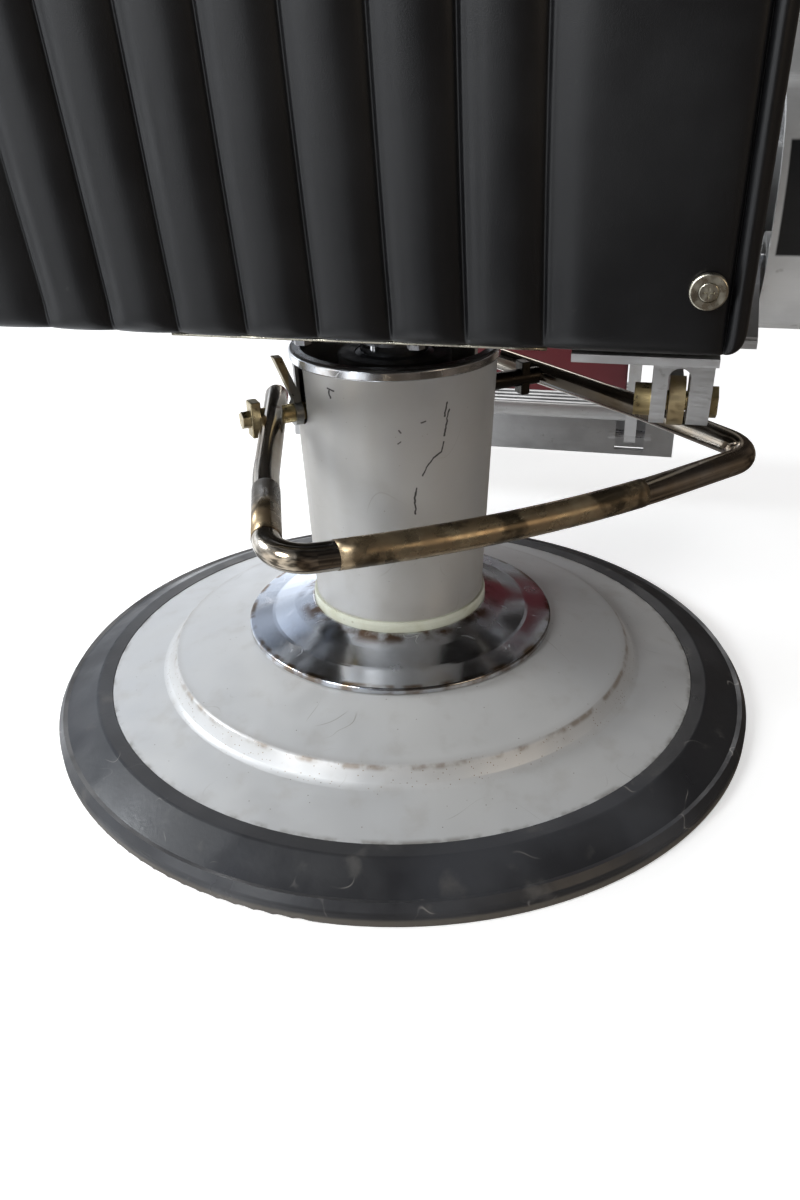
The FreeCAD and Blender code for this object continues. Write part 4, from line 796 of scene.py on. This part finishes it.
def build_back_panel(finish):
    """The rear cover: seven sewn channels between two plain panels, rolled at its sides."""
    low = Vector((-BACK_HALF, -PANEL_THICK, 0.0))
    high = Vector((BACK_HALF, -0.0005, BACK_TALL))
    xs = seam_stations(BACK_HALF, 0.012)
    zs = [0.0, 0.003, 0.007, 0.012, 0.018] + spread(0.026, BACK_TALL - 0.026, 0.010)
    zs += [BACK_TALL - 0.018, BACK_TALL - 0.012, BACK_TALL - 0.007, BACK_TALL - 0.003, BACK_TALL]
    mesh = lattice_box(xs, spread(low.y, high.y, 0.005), zs)
    deep, edge_radius = 0.0085, 0.0120
    for vertex in mesh.verts:
        flat = vertex.co.copy()
        skin = rounded(flat, low, high, edge_radius)
        face = max(0.0, min(1.0, (flat.y - low.y) / (high.y - low.y)))
        sunk = deep - channel_profile(flat.x, deep, BACK_HALF)
        ridge = 0.0014 * math.exp(-((flat.x - nearest_seam(flat.x) + 0.0028) / 0.0011) ** 2)
        ends = min(1.0, min(flat.z, BACK_TALL - flat.z) / 0.014)
        sway = noise.noise(Vector((flat.x * 9, 0.3, flat.z * 5))) * 0.0018
        near_edge = min(1.0, (BACK_HALF - abs(flat.x)) / 0.02)
        skin.y -= (sunk * (0.5 + 0.5 * ends) - ridge * ends - sway * near_edge * ends) * face ** 2
        skin.y = min(skin.y, high.y)
        middle = max(0.0, 1.0 - (abs(flat.x) / BACK_HALF) ** 6)
        skin.x += seam_shift(flat.z) * middle
        vertex.co = skin
    piece = soft_mesh("back_panel_cover", mesh, 1)
    put(piece, leaning, "back", finish, ["back_panel"])
    strip_right, strip_left = -0.158, 0.074
    strip = lattice_box(spread(strip_right, strip_left, 0.02), [-0.0160, -0.0105],
                        [-0.0012, 0.0002])
    strip = soft_mesh("edge_strip", strip, 0)
    put(strip, leaning, "back", finishes["nickel"])


def nearest_seam(across):
    return min(SEAMS, key=lambda seam: abs(seam - across))


# ---- cushions --------------------------------------------------------------------------------

WELT_RADIUS = 0.0032


def boxed_cushion(name, low, high, face, finish, place, body, node, swell, pressure, channels,
                  edge=0.012, cell=0.009):
    """A boxed cushion with a welt round the face that is sat on or leant on, swollen within it.

    face is the axis (1 or 2) along which its two big faces look, and its sign says which of them
    has the welt."""
    axis = abs(face)
    sign = 1 if face > 0 else -1
    ease = 0.003
    shrink = Vector((ease, ease, ease))
    near, far = Vector(low) + shrink, Vector(high) - shrink
    if sign > 0:
        far[axis] -= swell
        near[axis] -= shrink[axis]
    else:
        near[axis] += swell
        far[axis] += shrink[axis]
    long = 3 - axis
    stations = [spread(near[i], far[i], cell) for i in range(3)]
    if channels:
        stations[0] = seam_stations(far[0], cell)
    mesh = lattice_box(*stations)
    for vertex in mesh.verts:
        vertex.co = rounded(vertex.co.copy(), near, far, edge)
    piece = soft_mesh(name, mesh, 1)
    top = far[axis] if sign > 0 else near[axis]
    rest = near[axis] if sign > 0 else far[axis]
    inset = edge * 0.29

    def sewn(spot):
        at_rim = abs(spot[axis] - (top - sign * inset)) < edge * 0.35
        seam_line = channels and abs(spot[0] - nearest_seam(spot[0])) < 0.0009
        on_face = abs(spot[axis] - top) < 0.002
        return at_rim and not on_face or seam_line and on_face or abs(spot[axis] - rest) < 0.004

    stuff(piece, sewn, pressure, swell)
    if channels:
        sew_channels(piece, axis, sign, top, long, near, far)
    limit_low, limit_high = Vector(low), Vector(high)

    def hold(spot):
        return Vector([min(max(spot[i], limit_low[i]), limit_high[i]) for i in range(3)])

    move_points(piece, hold)
    put(piece, place, body, finish, [node])
    line = []
    for across, up in rounded_rectangle(far[0], near[long], far[long], edge):
        spot = Vector((0, 0, 0))
        spot[0] = across - math.copysign(inset * 0.6, across)
        spot[long] = up
        spot[axis] = top - sign * inset
        line.append(spot)
    welt = tube(f"{name}_welt", line, WELT_RADIUS)
    put(welt, place, body, finish)


def sew_channels(piece, axis, sign, top, long, near, far):
    """Press the sewn lines of the channels into the face, fading out towards its edges."""
    fade, deepest, wide = 0.02, 0.009, 0.0042

    def press(spot):
        share = max(0.0, min(1.0, (spot[axis] - top + sign * fade) * sign / fade))
        off = abs(spot[0] - nearest_seam(spot[0]))
        if abs(spot[0]) > SEAMS[-1] + fade:
            return spot
        ends = min(1.0, max(0.0, min(spot[long] - near[long], far[long] - spot[long]) / fade))
        groove = deepest * math.exp(-(off / wide) ** 1.4)
        spot[axis] -= sign * groove * share * ends
        return spot

    move_points(piece, press)


def build_cushions(finish):
    seat_low, seat_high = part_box("seat_cushion")
    boxed_cushion("seat_cushion_cover", seat_low, seat_high, 2, finish, upright, "seat",
                  "seat_cushion", 0.020, 3.5, True)
    board_thick, pad_thick, side_gap, end_gap = 0.014, 0.060, 0.002, 0.006
    board_front = -PANEL_THICK - board_thick
    boxed_cushion("back_cushion_cover",
                  (-BACK_HALF + side_gap, board_front - pad_thick, end_gap),
                  (BACK_HALF - side_gap, board_front, BACK_TALL - end_gap), -1, finish,
                  leaning, "back", "back_cushion", 0.018, 3.5, True)
    calf_half, calf_thick, leg_board = 0.190, 0.052, -0.021
    boxed_cushion("calf_pad_cover", (-calf_half, leg_board - calf_thick, -0.284),
                  (calf_half, leg_board, -0.038), -1, finish, on_leg, "leg_rest", "calf_pad",
                  0.012, 3.0, True, edge=0.010)
    head_rear = -PANEL_THICK - board_thick / 2 - 0.022
    head_low, head_tall, head_half, head_thick = 0.604, 0.130, 0.140, 0.078
    boxed_cushion("headrest_cover", (-head_half, head_rear - head_thick, head_low),
                  (head_half, head_rear, head_low + head_tall), -1, finish, leaning,
                  "headrest", "headrest_pad", 0.016, 3.5, False, edge=0.020, cell=0.007)


def build_arm_pads(finish):
    """Two stuffed arm pads, flat below where they are screwed down."""
    low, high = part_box("arm_pads")
    half, ease, swell = 0.030, 0.002, 0.006
    centre = high.x - half
    near = Vector((-half + ease, low.y + ease, low.z))
    far = Vector((half - ease, high.y - ease, high.z - swell))
    xs, ys, zs = (spread(near[i], far[i], 0.006) for i in range(3))
    mesh = lattice_box(xs, ys, zs)
    for vertex in mesh.verts:
        vertex.co = rounded(vertex.co.copy(), near, far, 0.011)
    right = soft_mesh("arm_pad_right", mesh, 1)
    stuff(right, lambda spot: spot.z < low.z + 0.006, 4.0, swell)
    move_points(right, lambda spot: Vector((max(-half, min(half, spot.x)), spot.y,
                                            max(low.z, min(high.z, spot.z)))))
    left = right.copy()
    left.data = right.data.copy()
    left.name = "arm_pad_left"
    scene.collection.objects.link(left)
    for pad, across in ((right, -centre), (left, centre)):
        put(pad, Matrix.Translation((across, 0, 0)), "seat", finish,
            ["arm_pads"])


# ---- tape on the pump bar --------------------------------------------------------------------

BAR_DROOP = math.radians(5.7)


def pump_place(along, out):
    """A point in the pump's own frame: along the shaft, and out from it on the level."""
    spot = Matrix.Rotation(-BAR_DROOP, 4, "X") @ Vector((along, out, 0))
    return Matrix.Rotation(PUMP_YAW, 4, "Z") @ spot + Vector((0, 0, SHAFT.z))


def build_tape():
    """Two worn bands: one on the left arm and a long one on the cross bar."""
    inner, outer, reach, cross_bar = 0.113, 0.196, 0.224, 0.243
    flare = (outer - inner) / reach
    nearer, further = 0.130, 0.197
    tape = old_tape()
    tape_band("tape_arm", pump_place(inner + flare * nearer, nearer),
              pump_place(inner + flare * further, further), tape)
    tape_band("tape_cross", pump_place(0.150, cross_bar), pump_place(-0.095, cross_bar), tape)


def tape_band(name, start, end, finish):
    """A sleeve over the stretch of the pump bar between two planes square to the stretch."""
    bar_reach, film, gap = 0.030, 0.0003, 0.0004
    mesh = bmesh.new()
    mesh.from_mesh(frame["nodes"]["pump_bar"].data)
    bmesh.ops.remove_doubles(mesh, verts=mesh.verts[:], dist=1e-5)
    direction = (end - start).normalized()
    for point, normal in ((start, -direction), (end, direction)):
        everything = mesh.verts[:] + mesh.edges[:] + mesh.faces[:]
        bmesh.ops.bisect_plane(mesh, geom=everything, plane_co=point, plane_no=normal,
                               clear_outer=True)
    away = []
    for vertex in mesh.verts:
        off = vertex.co - start
        if (off - direction * off.dot(direction)).length > bar_reach:
            away.append(vertex)
    bmesh.ops.delete(mesh, geom=away, context="VERTS")
    keep_outer_wall(mesh)
    mesh.normal_update()
    for vertex in mesh.verts:
        vertex.co += vertex.normal * gap
    piece = soft_mesh(name, mesh, 0)
    thick = piece.modifiers.new("thick", "SOLIDIFY")
    thick.thickness, thick.offset = film, -1
    put(piece, upright, "pump_bar", finish)


def keep_outer_wall(mesh):
    """Drop the tube's inner wall: of the loose shells, only the one that spans most stays."""
    left = set(mesh.verts)
    shells = []
    while left:
        shell, edge = set(), [left.pop()]
        while edge:
            vertex = edge.pop()
            shell.add(vertex)
            near = {link.other_vert(vertex) for link in vertex.link_edges} & left
            left -= near
            edge += list(near)
        heights = [vertex.co.z for vertex in shell]
        shells.append((max(heights) - min(heights), shell))
    shells.sort(key=lambda item: item[0], reverse=True)
    drop = [vertex for _, shell in shells[1:] for vertex in shell]
    bmesh.ops.delete(mesh, geom=drop, context="VERTS")


def build_spring(finish):
    """The pump's return spring, as a coil of wire in place of the frame's spring."""
    low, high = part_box("plunger_spring")
    centre, long = (low + high) / 2, high.z - low.z
    wire, turns, steps, stroke = 0.0009, 5, 24, 0.0097
    radius = (high.x - low.x) / 2 - wire
    line = []
    for index in range(turns * steps + 1):
        angle = math.tau * index / steps
        up = low.z + wire + (long - 2 * wire) * index / (turns * steps)
        line.append((centre.x + radius * math.cos(angle), centre.y + radius * math.sin(angle), up))
    coil = tube("spring_coil", line, wire * 0.95, closed=False)
    put(coil, upright, "base", finish, stands_for=["plunger_spring"])
    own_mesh(coil)


# ---- the chair -------------------------------------------------------------------------------

make_camera()
make_stage()
finishes = dress_frame()
back_vinyl = finishes["black_vinyl"]
build_back_panel(back_vinyl)
build_cushions(back_vinyl)
build_arm_pads(back_vinyl)
build_tape()
build_spring(finishes["spring_steel"])
